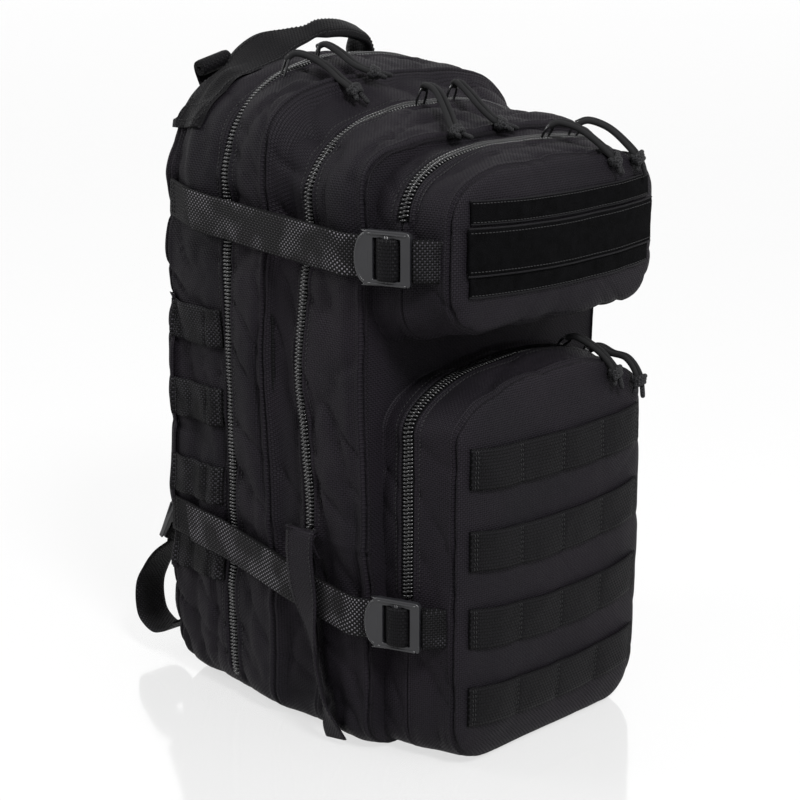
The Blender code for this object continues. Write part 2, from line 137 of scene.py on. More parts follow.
def noise(points, scale, seed=0):
    """Gradient noise, about -1 to 1; scale is the size of a lump along each axis, in metres."""
    p = np.asarray(points) / np.asarray(scale) + seed * 17.31
    base = np.floor(p).astype(np.int64)
    part = p - base
    fade = part ** 3 * (part * (part * 6 - 15) + 10)
    total = np.zeros(p.shape[:-1])
    for dx in (0, 1):
        for dy in (0, 1):
            for dz in (0, 1):
                corner = base + (dx, dy, dz)
                index = SHUFFLE[corner[..., 0] & 255]
                index = SHUFFLE[(index + corner[..., 1]) & 255]
                index = SHUFFLE[(index + corner[..., 2]) & 255]
                dot = (GRADIENTS[index] * (part - (dx, dy, dz))).sum(-1)
                weight = np.ones(p.shape[:-1])
                for axis, step in enumerate((dx, dy, dz)):
                    weight = weight * (fade[..., axis] if step else 1 - fade[..., axis])
                total += dot * weight
    return total * 1.6


def unit(vectors):
    return vectors / np.maximum(np.linalg.norm(vectors, axis=-1, keepdims=True), 1e-12)


def square_to(line, direction):
    """At each point, the normal that is square to the line and to the direction."""
    return unit(np.cross(unit(np.gradient(line, axis=0)), direction))


def smooth_path(points, spacing):
    """Evenly spaced points on the smooth curve through a given route."""
    knots = np.asarray(points, float)
    ends = np.vstack([2 * knots[0] - knots[1], knots, 2 * knots[-1] - knots[-2]])
    t = np.linspace(0, 1, 24, endpoint=False)[:, None]
    fine = []
    for a, b, c, d in zip(ends, ends[1:], ends[2:], ends[3:]):
        fine.append((2 * b + (c - a) * t + (2 * a - 5 * b + 4 * c - d) * t ** 2
                     + (3 * b - a - 3 * c + d) * t ** 3) / 2)
    fine = np.vstack([*fine, knots[-1:]])
    return resample(fine, spacing)


def steps_along(line):
    """Distance from the start of a line to each of its points."""
    return np.r_[0, np.cumsum(np.linalg.norm(np.diff(line, axis=0), axis=1))]


def read_at(at, steps, rows):
    """Rows known at the steps, read between them."""
    return np.stack([np.interp(at, steps, rows[:, k]) for k in range(rows.shape[1])], axis=-1)


def smoothed(values, kernel):
    """Running mean with the kernel's weights; the end values are held."""
    pad = len(kernel) // 2
    return np.convolve(np.r_[values[:1].repeat(pad), values, values[-1:].repeat(pad)], kernel, "valid")


SOFT_KERNEL = np.hanning(9) / np.hanning(9).sum()


def resample(line, spacing):
    """The line's points, evenly spaced."""
    steps = steps_along(line)
    count = max(2, int(round(steps[-1] / spacing)) + 1)
    at = np.linspace(0, steps[-1], count)
    return read_at(at, steps, line)


def run_length(line):
    return float(np.linalg.norm(np.diff(line, axis=0), axis=1).sum())


# ---- Sections of the pack ----

def section(keys, y):
    """Half width, top, shoulder, power, bottom and corner of an outline at depth y, in mm."""
    rows = np.array(keys, float)
    rows = rows[np.argsort(rows[:, 0])]
    return [np.interp(y / MM, rows[:, 0], rows[:, k]) for k in range(1, 7)]


def outline(keys, y, inset=0.0, count=AROUND):
    """Closed loop of (x, z) at depth y, anticlockwise from the front, from the middle of the bottom."""
    half, top, shoulder, power, bottom, corner = section(keys, y)
    inset = inset / MM
    half, top, bottom = half - inset, top - inset, bottom + inset
    corner = max(corner - inset, 2.0)
    turn = np.linspace(-math.pi / 2, 0, 12)
    side = np.stack([half - corner + corner * np.cos(turn), bottom + corner + corner * np.sin(turn)], 1)
    a = np.linspace(0, math.pi / 2, 90)
    arch = np.stack([half * np.cos(a) ** (2 / power),
                     shoulder + (top - shoulder) * np.sin(a) ** (2 / power)], 1)
    right = np.vstack([[0, bottom], side, arch[1:]])
    steps = steps_along(right)
    at = np.linspace(0, steps[-1], count // 2 + 1)
    right = read_at(at, steps, right)
    left = right[-2:0:-1] * (-1, 1)
    return np.vstack([right, left]) * MM


def arch_at(keys, y, x):
    """Height of the arch at x and its slope there."""
    half, top, shoulder, power, _, _ = section(keys, y)
    ratio = min(abs(x / MM) / half, 0.999)
    height = (1 - ratio ** power) ** (1 / power)
    slope = -(top - shoulder) / half * (ratio / height) ** (power - 1)
    return (shoulder + (top - shoulder) * height) * MM, math.copysign(slope, -x)


def loop_normals(loops, outward):
    """Normals of a stack of loops, (rows, around, 3)."""
    along = np.roll(loops, -1, axis=1) - np.roll(loops, 1, axis=1)
    across = np.gradient(loops, axis=0)
    return unit(np.cross(along, across)) * outward


def settle(points):
    """Slump of the soft pack: its seams bow a little between the straps."""
    p = np.array(points, float)
    y, z = p[..., 1], p[..., 2]
    bow = 10 * MM * bell(z, 232 * MM, 55 * MM) * bell(y, MIDDLE_ZIP_Y, 42 * MM)
    low = -5 * MM * bell(z, 55 * MM, 40 * MM) * bell(y, MIDDLE_ZIP_Y, 40 * MM)
    back = 3 * MM * bell(z, 60 * MM, 45 * MM) * bell(y, REAR_ZIP_Y, 30 * MM)
    p[..., 1] = y + bow + low + back
    return p


# ---- Meshes ----

def linked(name, data):
    made = bpy.data.objects.new(name, data)
    bpy.context.scene.collection.objects.link(made)
    return made


def make_mesh(name, verts, faces, look, weave=None, flat=False):
    mesh = bpy.data.meshes.new(name)
    mesh.from_pydata([tuple(v) for v in np.asarray(verts, float)], [], faces)
    if weave is not None:
        layer = mesh.attributes.new("weave", "FLOAT_VECTOR", "POINT")
        layer.data.foreach_set("vector", np.asarray(weave, np.float32).ravel())
    if not flat:
        mesh.shade_smooth()
    mesh.materials.append(look)
    return linked(name, mesh)


def ring_faces(rows, around, start=0, flip=False):
    faces = []
    for r in range(rows - 1):
        for i in range(around):
            j = (i + 1) % around
            a, b = start + r * around + i, start + r * around + j
            c, d = b + around, a + around
            faces.append((a, d, c, b) if flip else (a, b, c, d))
    return faces


def shell(name, loops, weave, thick, look, outward=1, capped=False):
    """Closed fabric wall: the outer loops, the same ones moved inwards, and rims at the open ends."""
    rows, around = loops.shape[:2]
    normals = loop_normals(loops, outward)
    keep = sorted(set(range(0, rows, 3)) | {rows - 1})
    inner = (loops - normals * thick)[keep]
    verts = [loops.reshape(-1, 3), inner.reshape(-1, 3)]
    coords = [weave.reshape(-1, 3), weave[keep].reshape(-1, 3)]
    flip = outward < 0
    count = rows * around
    faces = ring_faces(rows, around, 0, flip) + ring_faces(len(keep), around, count, not flip)
    ends = [(0, count, not flip)]
    if not capped:
        ends.append(((rows - 1) * around, count + (len(keep) - 1) * around, flip))
    for first, second, turned in ends:
        for i in range(around):
            j = (i + 1) % around
            quad = (first + i, first + j, second + j, second + i)
            faces.append(quad[::-1] if not turned else quad)
    if capped:
        middle = [loops[-1].mean(0), inner[-1].mean(0)]
        last = count + len(keep) * around
        for k, first in enumerate(((rows - 1) * around, count + (len(keep) - 1) * around)):
            for i in range(around):
                tri = (first + i, first + (i + 1) % around, last + k)
                faces.append(tri[::-1] if (k == 1) != flip else tri)
        verts.append(np.array(middle))
        coords.append(np.array([weave[-1].mean(0)] * 2))
    return make_mesh(name, np.vstack(verts), faces, look, np.vstack(coords))


def tube(line, radius, sides=8, tips=True):
    """Verts, faces and weave of a round tube along a line; radius may vary along it."""
    line = np.asarray(line, float)
    radii = np.broadcast_to(np.asarray(radius, float), (len(line),)).copy()
    tangents = unit(np.gradient(line, axis=0))
    side = np.cross(tangents[0], (0, 0, 1))
    if np.linalg.norm(side) < 0.2:
        side = np.cross(tangents[0], (0, 1, 0))
    frames = []
    for tangent in tangents:
        side = unit(side - tangent * np.dot(side, tangent))
        frames.append(side)
    sides_at = np.array(frames)
    ups = np.cross(tangents, sides_at)
    turn = np.linspace(0, 2 * math.pi, sides, endpoint=False)
    rings = (line[:, None] + (np.cos(turn)[None, :, None] * sides_at[:, None]
                              + np.sin(turn)[None, :, None] * ups[:, None]) * radii[:, None, None])
    steps = steps_along(line)
    weave = np.zeros((len(line), sides, 3))
    weave[..., 0] = steps[:, None]
    weave[..., 1] = turn[None, :] * radii.max()
    verts, coords = rings.reshape(-1, 3), weave.reshape(-1, 3)
    faces = ring_faces(len(line), sides, 0, True)
    if tips:
        count = len(verts)
        push = radii[[0, -1]][:, None] * 0.5 * np.array([-tangents[0], tangents[-1]])
        verts = np.vstack([verts, line[[0, -1]] + push])
        coords = np.vstack([coords, weave[0, :1], weave[-1, :1]])
        for i in range(sides):
            j = (i + 1) % sides
            faces.append((i, j, count))
            faces.append((count - sides + j, count - sides + i, count + 1))
    return verts, faces, coords


def merged(parts):
    """One mesh's verts, faces and weave from several."""
    verts, faces, coords, count = [], [], [], 0
    for v, f, c in parts:
        verts.append(v)
        coords.append(c)
        faces += [tuple(i + count for i in face) for face in f]
        count += len(v)
    return np.vstack(verts), faces, np.vstack(coords)


def merged_mesh(name, parts, look):
    verts, faces, coords = merged(parts)
    return make_mesh(name, verts, faces, look, coords)


def end_faces(count, around):
    """Flat ends of a closed stack of loops."""
    return [tuple(range(around))[::-1], tuple(range((count - 1) * around, count * around))]


def band_faces(count, columns, flip=False):
    """Skin of a band whose loops run over its top and back under it, and its two cut ends."""
    around = 2 * columns
    faces = ring_faces(count, around, 0, flip)
    for start, turned in ((0, flip), ((count - 1) * around, not flip)):
        for i in range(columns - 1):
            quad = (start + i, start + around - 1 - i, start + around - 2 - i, start + i + 1)
            faces.append(quad[::-1] if turned else quad)
    return faces


def flat_weave(points):
    """Thread coordinates of an upright panel: its own x and z."""
    weave = np.zeros(points.shape)
    weave[..., 0], weave[..., 1] = points[..., 0], points[..., 2]
    return weave


def ribbon(line, normals, width, thick, columns=10, edge=0.35 * MM):
    """Verts, faces and weave of a flat woven band; width may vary along it."""
    line = np.asarray(line, float)
    normals = unit(np.asarray(normals, float))
    widths = np.broadcast_to(np.asarray(width, float), (len(line),))[:, None]
    across = unit(np.cross(unit(np.gradient(line, axis=0)), normals))
    v = np.linspace(-0.5, 0.5, columns)
    lift = np.full(columns, thick / 2)
    lift[[0, -1]] -= edge
    flat = line[:, None] + across[:, None] * (v[None] * widths)[..., None]
    half = normals[:, None] * lift[None, :, None]
    top, low = flat + half, flat - half
    loops = np.concatenate([top, low[:, ::-1]], axis=1)
    steps = steps_along(line)
    weave = np.zeros(loops.shape)
    weave[..., 0] = steps[:, None]
    weave[:, :columns, 1] = v[None] * widths
    weave[:, columns:, 1] = (v[None] * widths)[:, ::-1]
    return loops.reshape(-1, 3), band_faces(len(line), columns), weave.reshape(-1, 3)


def ribbon_piece(name, line, normals, width, thick, look, columns=10):
    return merged_mesh(name, [ribbon(line, normals, width, thick, columns)], look)


# ---- Materials ----

def node(tree, kind, inputs=None, **settings):
    """New shader node; an input is a value or the socket that feeds it."""
    made = tree.nodes.new(kind)
    for key, value in settings.items():
        setattr(made, key, value)
    for key, value in (inputs or {}).items():
        if isinstance(value, bpy.types.NodeSocket):
            tree.links.new(value, made.inputs[key])
        else:
            made.inputs[key].default_value = value
    return made


def calc(tree, operation, a, b=0.0, c=0.0):
    return node(tree, "ShaderNodeMath", {0: a, 1: b, 2: c}, operation=operation).outputs[0]


def new_material(name, colour, roughness, metallic=0.0, sheen=0.0, coat=0.0, specular=0.5):
    made = bpy.data.materials.new(name)
    made.use_nodes = True
    shader = made.node_tree.nodes["Principled BSDF"]
    shader.inputs["Base Color"].default_value = (*colour, 1)
    shader.inputs["Roughness"].default_value = roughness
    shader.inputs["Metallic"].default_value = metallic
    shader.inputs["Specular IOR Level"].default_value = specular
    shader.inputs["Sheen Weight"].default_value = sheen
    shader.inputs["Sheen Roughness"].default_value = 0.4
    shader.inputs["Coat Weight"].default_value = coat
    return made


def coordinates(tree):
    """The piece's own thread coordinates in mm: along and across."""
    source = node(tree, "ShaderNodeAttribute", attribute_name="weave", attribute_type="GEOMETRY")
    split = node(tree, "ShaderNodeSeparateXYZ", {0: source.outputs["Vector"]})
    return (calc(tree, "MULTIPLY", split.outputs[0], 1000.0),
            calc(tree, "MULTIPLY", split.outputs[1], 1000.0))


def crossings(tree, u, v, pitch_u, pitch_v):
    """Which thread is on top at each crossing, 0 or 1, and the rounded backs of warp and weft."""
    a, b = calc(tree, "DIVIDE", u, pitch_u), calc(tree, "DIVIDE", v, pitch_v)
    parity = calc(tree, "PINGPONG", calc(tree, "ADD", calc(tree, "FLOOR", a), calc(tree, "FLOOR", b)), 1.0)
    warp = calc(tree, "SINE", calc(tree, "MULTIPLY", calc(tree, "FRACT", a), math.pi))
    weft = calc(tree, "SINE", calc(tree, "MULTIPLY", calc(tree, "FRACT", b), math.pi))
    return parity, warp, weft


def thread_height(tree, u, v, pitch_u, pitch_v):
    """Height of a plain weave: threads pass over and under each other like a chequerboard."""
    parity, warp, weft = crossings(tree, u, v, pitch_u, pitch_v)
    over = calc(tree, "MULTIPLY", warp, parity)
    under = calc(tree, "MULTIPLY", weft, calc(tree, "SUBTRACT", 1.0, parity))
    return calc(tree, "ADD", over, under)


def thread_spots(tree, u, v, pitch_u, pitch_v):
    """Bright picks that show on every other crossing, staggered from row to row."""
    parity, warp, weft = crossings(tree, u, v, pitch_u, pitch_v)
    return calc(tree, "MULTIPLY", parity, calc(tree, "MULTIPLY", warp, weft))


def shade(colour, share):
    return [c * share for c in colour]


def grey(level):
    return (level, level, level)


def mottle(tree, scale, detail=3.0):
    """Cloudy noise over the piece."""
    place = node(tree, "ShaderNodeTexCoord").outputs["Object"]
    return node(tree, "ShaderNodeTexNoise", {"Vector": place, "Scale": scale, "Detail": detail}).outputs[0]


def tint(tree, factor, dark, light, low=0.3, high=0.7):
    """Colour between dark and light, by the factor."""
    ramp = node(tree, "ShaderNodeValToRGB", {0: factor})
    ramp.color_ramp.elements[0].position = low
    ramp.color_ramp.elements[1].position = high
    ramp.color_ramp.elements[0].color = (*dark, 1)
    ramp.color_ramp.elements[1].color = (*light, 1)
    return ramp.outputs[0]


def times(tree, colour, other):
    mix = node(tree, "ShaderNodeMix", data_type="RGBA", blend_type="MULTIPLY")
    mix.inputs[0].default_value = 1.0
    tree.links.new(colour, mix.inputs[6])
    tree.links.new(other, mix.inputs[7])
    return mix.outputs[2]


def finish_cloth(made, height, colour, strength, depth, rough_low, rough_high):
    """Bump, colour and roughness of a cloth from its height."""
    tree = made.node_tree
    shader = tree.nodes["Principled BSDF"]
    bump = node(tree, "ShaderNodeBump", {"Height": height, "Strength": strength, "Distance": depth})
    tree.links.new(bump.outputs[0], shader.inputs["Normal"])
    tree.links.new(colour, shader.inputs["Base Color"])
    rough = node(tree, "ShaderNodeMapRange", {0: height, 3: rough_high, 4: rough_low})
    tree.links.new(rough.outputs[0], shader.inputs["Roughness"])
    return made


def oxford_cloth(name, colour, pitch=1.35):
    """Coated oxford cloth: fine plain weave with slubs and a faint warm and cool mottle; its colour is
    painted darker in the hollows of the weave and lighter on the thread tops and slubs, painted shade and
    painted highlight.
    """
    made = new_material(name, colour, 0.8, sheen=0.006, specular=0.075)
    tree = made.node_tree
    u, v = coordinates(tree)
    weave = thread_height(tree, u, v, pitch, pitch)
    slub = mottle(tree, 900.0, 2.0)
    height = calc(tree, "MULTIPLY_ADD", slub, 0.5, weave)
    warm = tint(tree, mottle(tree, 14.0), shade(colour, 0.82),
                (colour[0] * 1.25, colour[1] * 1.12, colour[2] * 1.15))
    # painted shade in the weave's hollows and painted highlight on the thread tops and slubs, read from the
    # cloth's height
    threads = tint(tree, height, grey(0.1), grey(2.6), 0.25, 1.2)
    return finish_cloth(made, height, times(tree, warm, threads), 0.8, 0.35 * MM, 0.55, 0.95)


def webbing_cloth(name, colour, pitch_u=1.5, pitch_v=2.3, contrast=1.0, bump=0.8, low=0.2, flecks=0.0):
    """Woven webbing: thick ribs with raised picks, lighter on their crowns: a painted highlight on the crowns
    and painted shade between the threads.
    """
    made = new_material(name, colour, 0.7, sheen=0.004, specular=0.07)
    tree = made.node_tree
    u, v = coordinates(tree)
    weave = thread_height(tree, u, v, pitch_u, pitch_v)
    height = calc(tree, "MULTIPLY_ADD", mottle(tree, 1400.0, 2.0), 0.35, weave)
    # painted highlight on the thread crowns and painted shade between the threads
    crowns = tint(tree, weave, grey(0.35), grey(1.0 + 0.9 * contrast), low, 0.98)
    if flecks:
        spots = calc(tree, "MULTIPLY", thread_spots(tree, u, v, pitch_u, pitch_v),
                     tint(tree, mottle(tree, 55.0, 1.0), grey(0.45), grey(1.0), 0.40, 0.60))
        crowns = tint(tree, spots, grey(0.9), grey(flecks), 0.25, 0.85)
    base = tint(tree, mottle(tree, 25.0), shade(colour, 0.85), shade(colour, 1.15))
    return finish_cloth(made, height, times(tree, base, crowns), bump, 0.45 * MM, 0.5, 0.9)


def loop_cloth(name, colour):
    """Fuzzy loop tape, its colour painted lighter where the fuzz stands proud and darker between: painted
    highlight and painted shade.
    """
    made = new_material(name, colour, 1.0, sheen=0.003, specular=0.03)
    tree = made.node_tree
    fuzz = mottle(tree, 1500.0, 4.0)
    patches = mottle(tree, 160.0, 4.0)
    height = calc(tree, "MULTIPLY_ADD", patches, 0.8, fuzz)
    both = calc(tree, "MULTIPLY", fuzz, patches)
    # painted highlight on the raised fuzz and painted shade between, from the noises of the bump
    relief_shaded_colours = tint(tree, both, shade(colour, 0.4), shade(colour, 2.2), 0.12, 0.5)
    return finish_cloth(made, height, relief_shaded_colours, 1.0, 0.9 * MM, 0.9, 1.0)


def cord_cloth(name, colour):
    """Braided cord, its colour painted lighter on the ridges of the braid and darker in its grooves: painted
    highlight and painted shade.
    """
    made = new_material(name, colour, 0.7, sheen=0.02, specular=0.2)
    tree = made.node_tree
    u, v = coordinates(tree)
    left = calc(tree, "SINE", calc(tree, "MULTIPLY_ADD", u, 3.6, calc(tree, "MULTIPLY", v, 2.7)))
    right = calc(tree, "SINE", calc(tree, "MULTIPLY_ADD", u, 3.6, calc(tree, "MULTIPLY", v, -2.7)))
    height = calc(tree, "MAXIMUM", left, right)
    # painted highlight on the braid's ridges and painted shade in its grooves
    relief_shaded_colours = tint(tree, height, shade(colour, 0.6), shade(colour, 1.7), 0.0, 1.0)
    return finish_cloth(made, height, relief_shaded_colours, 0.8, 0.25 * MM, 0.55, 0.85)


def moulded(name, colour, roughness, specular=0.5):
    """Moulded plastic with a fine grain."""
    made = new_material(name, colour, roughness, specular=specular)
    tree = made.node_tree
    shader = tree.nodes["Principled BSDF"]
    grain = mottle(tree, 2500.0, 2.0)
    bump = node(tree, "ShaderNodeBump", {"Height": grain, "Strength": 0.12, "Distance": 0.08 * MM})
    tree.links.new(bump.outputs[0], shader.inputs["Normal"])
    worn = tint(tree, mottle(tree, 60.0), shade(colour, 0.9), shade(colour, 1.2))
    tree.links.new(worn, shader.inputs["Base Color"])
    return made


def enamel(name, colour):
    """Black enamelled metal."""
    made = new_material(name, colour, 0.22, metallic=0.6, coat=0.4)
    tree = made.node_tree
    shader = tree.nodes["Principled BSDF"]
    rough = tint(tree, mottle(tree, 400.0), grey(0.15), grey(0.34))
    tree.links.new(rough, shader.inputs["Roughness"])
    return made


SHELL = oxford_cloth("shell_cloth", (0.0022, 0.0019, 0.0027))
LINING = oxford_cloth("lining_cloth", (0.006, 0.006, 0.0066), 1.0)
WEB = webbing_cloth("webbing_ribbed", (0.0011, 0.0010, 0.0013), 1.2, 2.0, 1.8, 0.8, 0.35)
WEB_TAIL = webbing_cloth("webbing_flecked", (0.0020, 0.0019, 0.0021), 1.5, 1.5, 1.0, 1.0, 0.2, 60.0)
WEB_SIDE = webbing_cloth("webbing_specked", (0.0018, 0.0017, 0.0020), 1.4, 1.5, 1.0, 1.0, 0.2, 14.0)
LOOP = loop_cloth("loop_tape", (0.0009, 0.0009, 0.0011))
LOOP_EDGE = webbing_cloth("loop_tape_edge", (0.0048, 0.0046, 0.0054), 0.8, 0.8, 0.4, 0.4)
BRAID = cord_cloth("cord_braid", (0.0034, 0.0034, 0.0040))
BUCKLE = moulded("buckle_plastic", (0.0085, 0.0085, 0.0098), 0.34, 0.4)
COIL = moulded("zipper_coil", (0.0028, 0.0028, 0.0031), 0.27, 0.45)
THREAD = moulded("stitch_thread", (0.0026, 0.0026, 0.0030), 0.6, 0.3)
METAL = enamel("slider_enamel", (0.012, 0.012, 0.013))


# ---- Camera, light and floor ----

def make_camera():
    data = bpy.data.cameras.new("camera")
    data.lens = 84.4
    data.sensor_width = 36.0
    data.clip_end = 100.0
    camera = linked("camera", data)
    forward = Vector((0.6792, 0.6857, -0.2618)).normalized()
    right = forward.cross(Vector((0, 0, 1))).normalized()
    matrix = Matrix((right, right.cross(forward), -forward)).transposed().to_4x4()
    matrix.translation = Vector((-0.8339, -0.8563, 0.5121))
    camera.matrix_world = matrix
    bpy.context.scene.camera = camera


def area_light(name, place, target, size, power):
    data = bpy.data.lights.new(name, "AREA")
    data.shape = "DISK"
    data.size = size
    data.energy = power
    light = linked(name, data)
    direction = Vector(target) - Vector(place)
    light.location = place
    light.rotation_mode = "QUATERNION"
    light.rotation_quaternion = direction.to_track_quat("-Z", "Y")


def make_stage():
    """Studio light and a clear pale sheet as the floor, through which the opened half shows."""
    scene = bpy.context.scene
    scene.view_settings.view_transform = "Standard"
    world = bpy.data.worlds.new("studio")
    world.use_nodes = True
    world.node_tree.nodes["Background"].inputs[0].default_value = (1, 1, 1, 1)
    world.node_tree.nodes["Background"].inputs[1].default_value = 1.02
    scene.world = world
    area_light("key_light", (-0.55, -1.4, 1.75), (0, 0, 0.2), 0.5, 66)
    area_light("front_light", (0.9, -1.9, 1.1), (0, 0, 0.2), 0.8, 12)
    area_light("rim_light", (-1.3, 1.5, 1.5), (0, 0, 0.25), 0.8, 28)
    floor_look = new_material("floor_sheet", (0.45, 0.45, 0.45), 0.6, specular=0.0)
    tree = floor_look.node_tree
    grain = tint(tree, mottle(tree, 3.0), grey(0.44), grey(0.46))
    tree.links.new(grain, tree.nodes["Principled BSDF"].inputs["Base Color"])
    clear = node(tree, "ShaderNodeBsdfTransparent").outputs[0]
    veil = node(tree, "ShaderNodeMixShader", {0: 0.22, 1: clear, 2: tree.nodes["Principled BSDF"].outputs[0]})
    gloss = node(tree, "ShaderNodeBsdfAnisotropic", {"Color": (1, 1, 1, 1), "Roughness": 0.1}).outputs[0]
    mirror = node(tree, "ShaderNodeFresnel", {"IOR": 1.75}).outputs[0]
    polished = node(tree, "ShaderNodeMixShader", {0: mirror, 1: veil.outputs[0], 2: gloss})
    tree.links.new(polished.outputs[0], tree.nodes["Material Output"].inputs["Surface"])
    size, low = 40.0, -0.3 * MM
    corners = [(-size, -size, low), (size, -size, low), (size, size, low), (-size, size, low)]
    floor = make_mesh("floor", corners, [(0, 1, 2, 3)], floor_look, flat=True)


make_camera()
make_stage()


def body_of(node_name):
    """The body that a solid belongs to."""
    return frame["nodes"][node_name]["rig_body"]


def fit(piece, slot, *nodes, body=None):
    """The piece rides on the body of the solids that it stands for."""
    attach(piece, body or body_of(nodes[0]))
    if nodes:
        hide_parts(*nodes)
    return piece


# ---- Zip sliders and their cord pulls ----

# Slider, section, plane, x in mm, then the pull's route in mm from bail to tail
PULLS = (
    ("rear", "left", BODY_KEYS, REAR_ZIP_Y, -61,
     ((-60, 25, 412), (-56, 20, 416), (-49, 12, 413), (-46, 0, 407), (-47, -12, 401), (-48, -24, 396),
      (-49, -33, 389))),
    ("rear", "right", BODY_KEYS, REAR_ZIP_Y, -34,
     ((-34, 25, 418), (-31, 20, 420), (-29, 10, 416), (-30, -6, 409), (-27, -19, 405), (-20, -27, 402))),
    ("middle", "left", BODY_KEYS, MIDDLE_ZIP_Y, -14,
     ((-14, -49, 396), (-16, -54, 399), (-19, -66, 396), (-26, -81, 386), (-33, -93, 378), (-36, -101, 375),
      (-38, -108, 374))),
    ("middle", "right", BODY_KEYS, MIDDLE_ZIP_Y, 12,
     ((12, -49, 396), (11, -54, 399), (9, -66, 393), (6, -80, 385), (6, -92, 378), (14, -101, 373))),
    ("upper", "left", UPPER_KEYS, UPPER_ZIP_Y, 21,
     ((21, -120, 377), (25, -125, 379), (31, -134, 376), (38, -143, 368), (44, -152, 358), (48, -155, 348))),
    ("upper", "right", UPPER_KEYS, UPPER_ZIP_Y, 46,
     ((46, -120, 376), (52, -125, 378), (59, -134, 374), (64, -143, 366), (67, -152, 356), (67, -155, 346))),
    ("lower", "left", LOWER_KEYS, LOWER_ZIP_Y, 44,
     ((44, -118, 243), (46, -124, 244), (48, -133, 241), (50, -143, 235), (51, -152, 226), (51, -155, 215))),
    ("lower", "right", LOWER_KEYS, LOWER_ZIP_Y, 68,
     ((68, -118, 233), (70, -124, 234), (71, -133, 231), (73, -144, 229), (73, -153, 219), (71, -155, 206))),
)
KNOT_LENGTH = 9 * MM
TAIL_LENGTH = 11 * MM


def strand(name, line):
    """A cord along the line."""
    curve = bpy.data.curves.new(name, "CURVE")
    curve.dimensions = "3D"
    curve.bevel_depth = CORD / 2
    curve.bevel_resolution = 4
    curve.use_fill_caps = True
    spline = curve.splines.new("POLY")
    spline.points.add(len(line) - 1)
    for point, at in zip(spline.points, line):
        point.co = (*at, 1)
    curve.materials.append(BRAID)
    return linked(name, curve)


def knot_mesh(centre, along, across):
    """Overhand knot: three fat turns round the pair of strands, pulled tight."""
    up = np.cross(along, across)
    t = np.linspace(0, 6 * math.pi, 90)
    swell = 3.3 * MM + 0.5 * MM * np.sin(t / 3)
    run = (t / t[-1] - 0.5) * KNOT_LENGTH * 0.62
    tilt = 0.9 * MM * np.sin(t + 0.8)
    line = (centre + along * (run + tilt)[:, None] + across * (np.cos(t) * swell * 1.12)[:, None]
            + up * (np.sin(t) * swell * 0.82)[:, None])
    return tube(line, CORD / 2 * 0.95, 10)


def make_pull(zip_name, side, route):
    """Cord pull: two strands from the bail to a knot, and two tails past it."""
    line = smooth_path(np.array(route) * MM, 1.5 * MM)
    total = run_length(line)
    cut = int(len(line) * (total - TAIL_LENGTH) / total)
    along = unit(np.gradient(line, axis=0))
    body_up = np.array((0.0, -0.35, 1.0))
    across = unit(np.cross(along, body_up))
    gap = np.full(len(line), CORD * 0.53)
    steps = np.linspace(0, total, len(line))
    gap *= 0.55 + 0.45 * smooth(0, 12 * MM, steps)
    wave = 0.5 * MM * noise(np.c_[steps, steps * 0, steps * 0], 0.02, len(zip_name) + ord(side[0]))
    name = f"{zip_name}_pull_{side}"
    body = body_of(name)
    knot = merged_mesh(f"{name}_knot", [knot_mesh(line[cut], along[cut], across[cut])], BRAID)
    fit(knot, "cord", body=body)
    tails = []
    apart = np.linspace(0, 1, len(line) - cut) ** 1.3 * 1.7 * MM
    for sign in (-1, 1):
        spread = sign * (gap[cut:] + apart * (1.4 if sign > 0 else 1))
        tail_line = line[cut:] + across[cut:] * spread[:, None]
        if sign > 0:
            tail_line = tail_line[: max(4, int(len(tail_line) * 0.8))]
        radius = np.full(len(tail_line), CORD / 2 * 0.93)
        radius[-2:] *= (0.98, 0.8)
        tails.append(tube(tail_line, radius, 10))
    tail = merged_mesh(f"{name}_tails", tails, BRAID)
    fit(tail, "cord", body=body)
    for sign, label in ((-1, "a"), (1, "b")):
        offset = sign * gap[: cut + 1] + wave[: cut + 1] * sign * 0.5
        own = line[: cut + 1] + across[: cut + 1] * offset[:, None]
        piece = strand(f"{name}_strand_{label}", own)
        fit(piece, "cord", name, body=body)
        tuple(own[0])


for zip_name, side, _, _, _, route in PULLS:
    make_pull(zip_name, side, route)


# ---- Fabric shells ----

STRAP_HEIGHTS = (317 * MM, 105 * MM)
SEAM_DEPTH = 144.5  # mm, where a pocket's front panel is sewn to its sides


def rows_between(start, end, marks, near=0.7, far=3.2, reach=9.0):
    """Depths in mm from start to end, close together near the marks."""
    fine = np.linspace(start, end, 2400)
    distance = np.min([np.abs(fine - m) for m in marks], axis=0)
    density = 1 / (near + (far - near) * smooth(reach * 0.7, reach * 1.6, distance))
    total = np.r_[0, np.cumsum((density[1:] + density[:-1]) / 2 * np.abs(np.diff(fine)))]
    count = max(2, int(round(total[-1])) + 1)
    return np.interp(np.linspace(0, total[-1], count), total, fine)


def zip_relief(distance, mask):
    """Recess of a zipper between two folded edges, each with a stitched groove."""
    recess = -1.5 * (1 - smooth(3.9, 4.7, distance))
    bead = 0.75 * bell(distance, 5.7, 1.1)
    groove = -0.4 * bell(distance, 8.4, 0.7)
    sewn = 0.5 * bell(distance, 1.6, 1.2) - 0.9 * bell(distance, 0, 0.7)
    return mask * (recess + bead + groove) + (1 - mask) * sewn


def seam(distance):
    """Thin dark groove where two panels meet, between two soft rolls."""
    return 1.1 * bell(distance, 2.2, 1.6) - 3.0 * bell(distance, 0, 0.8)


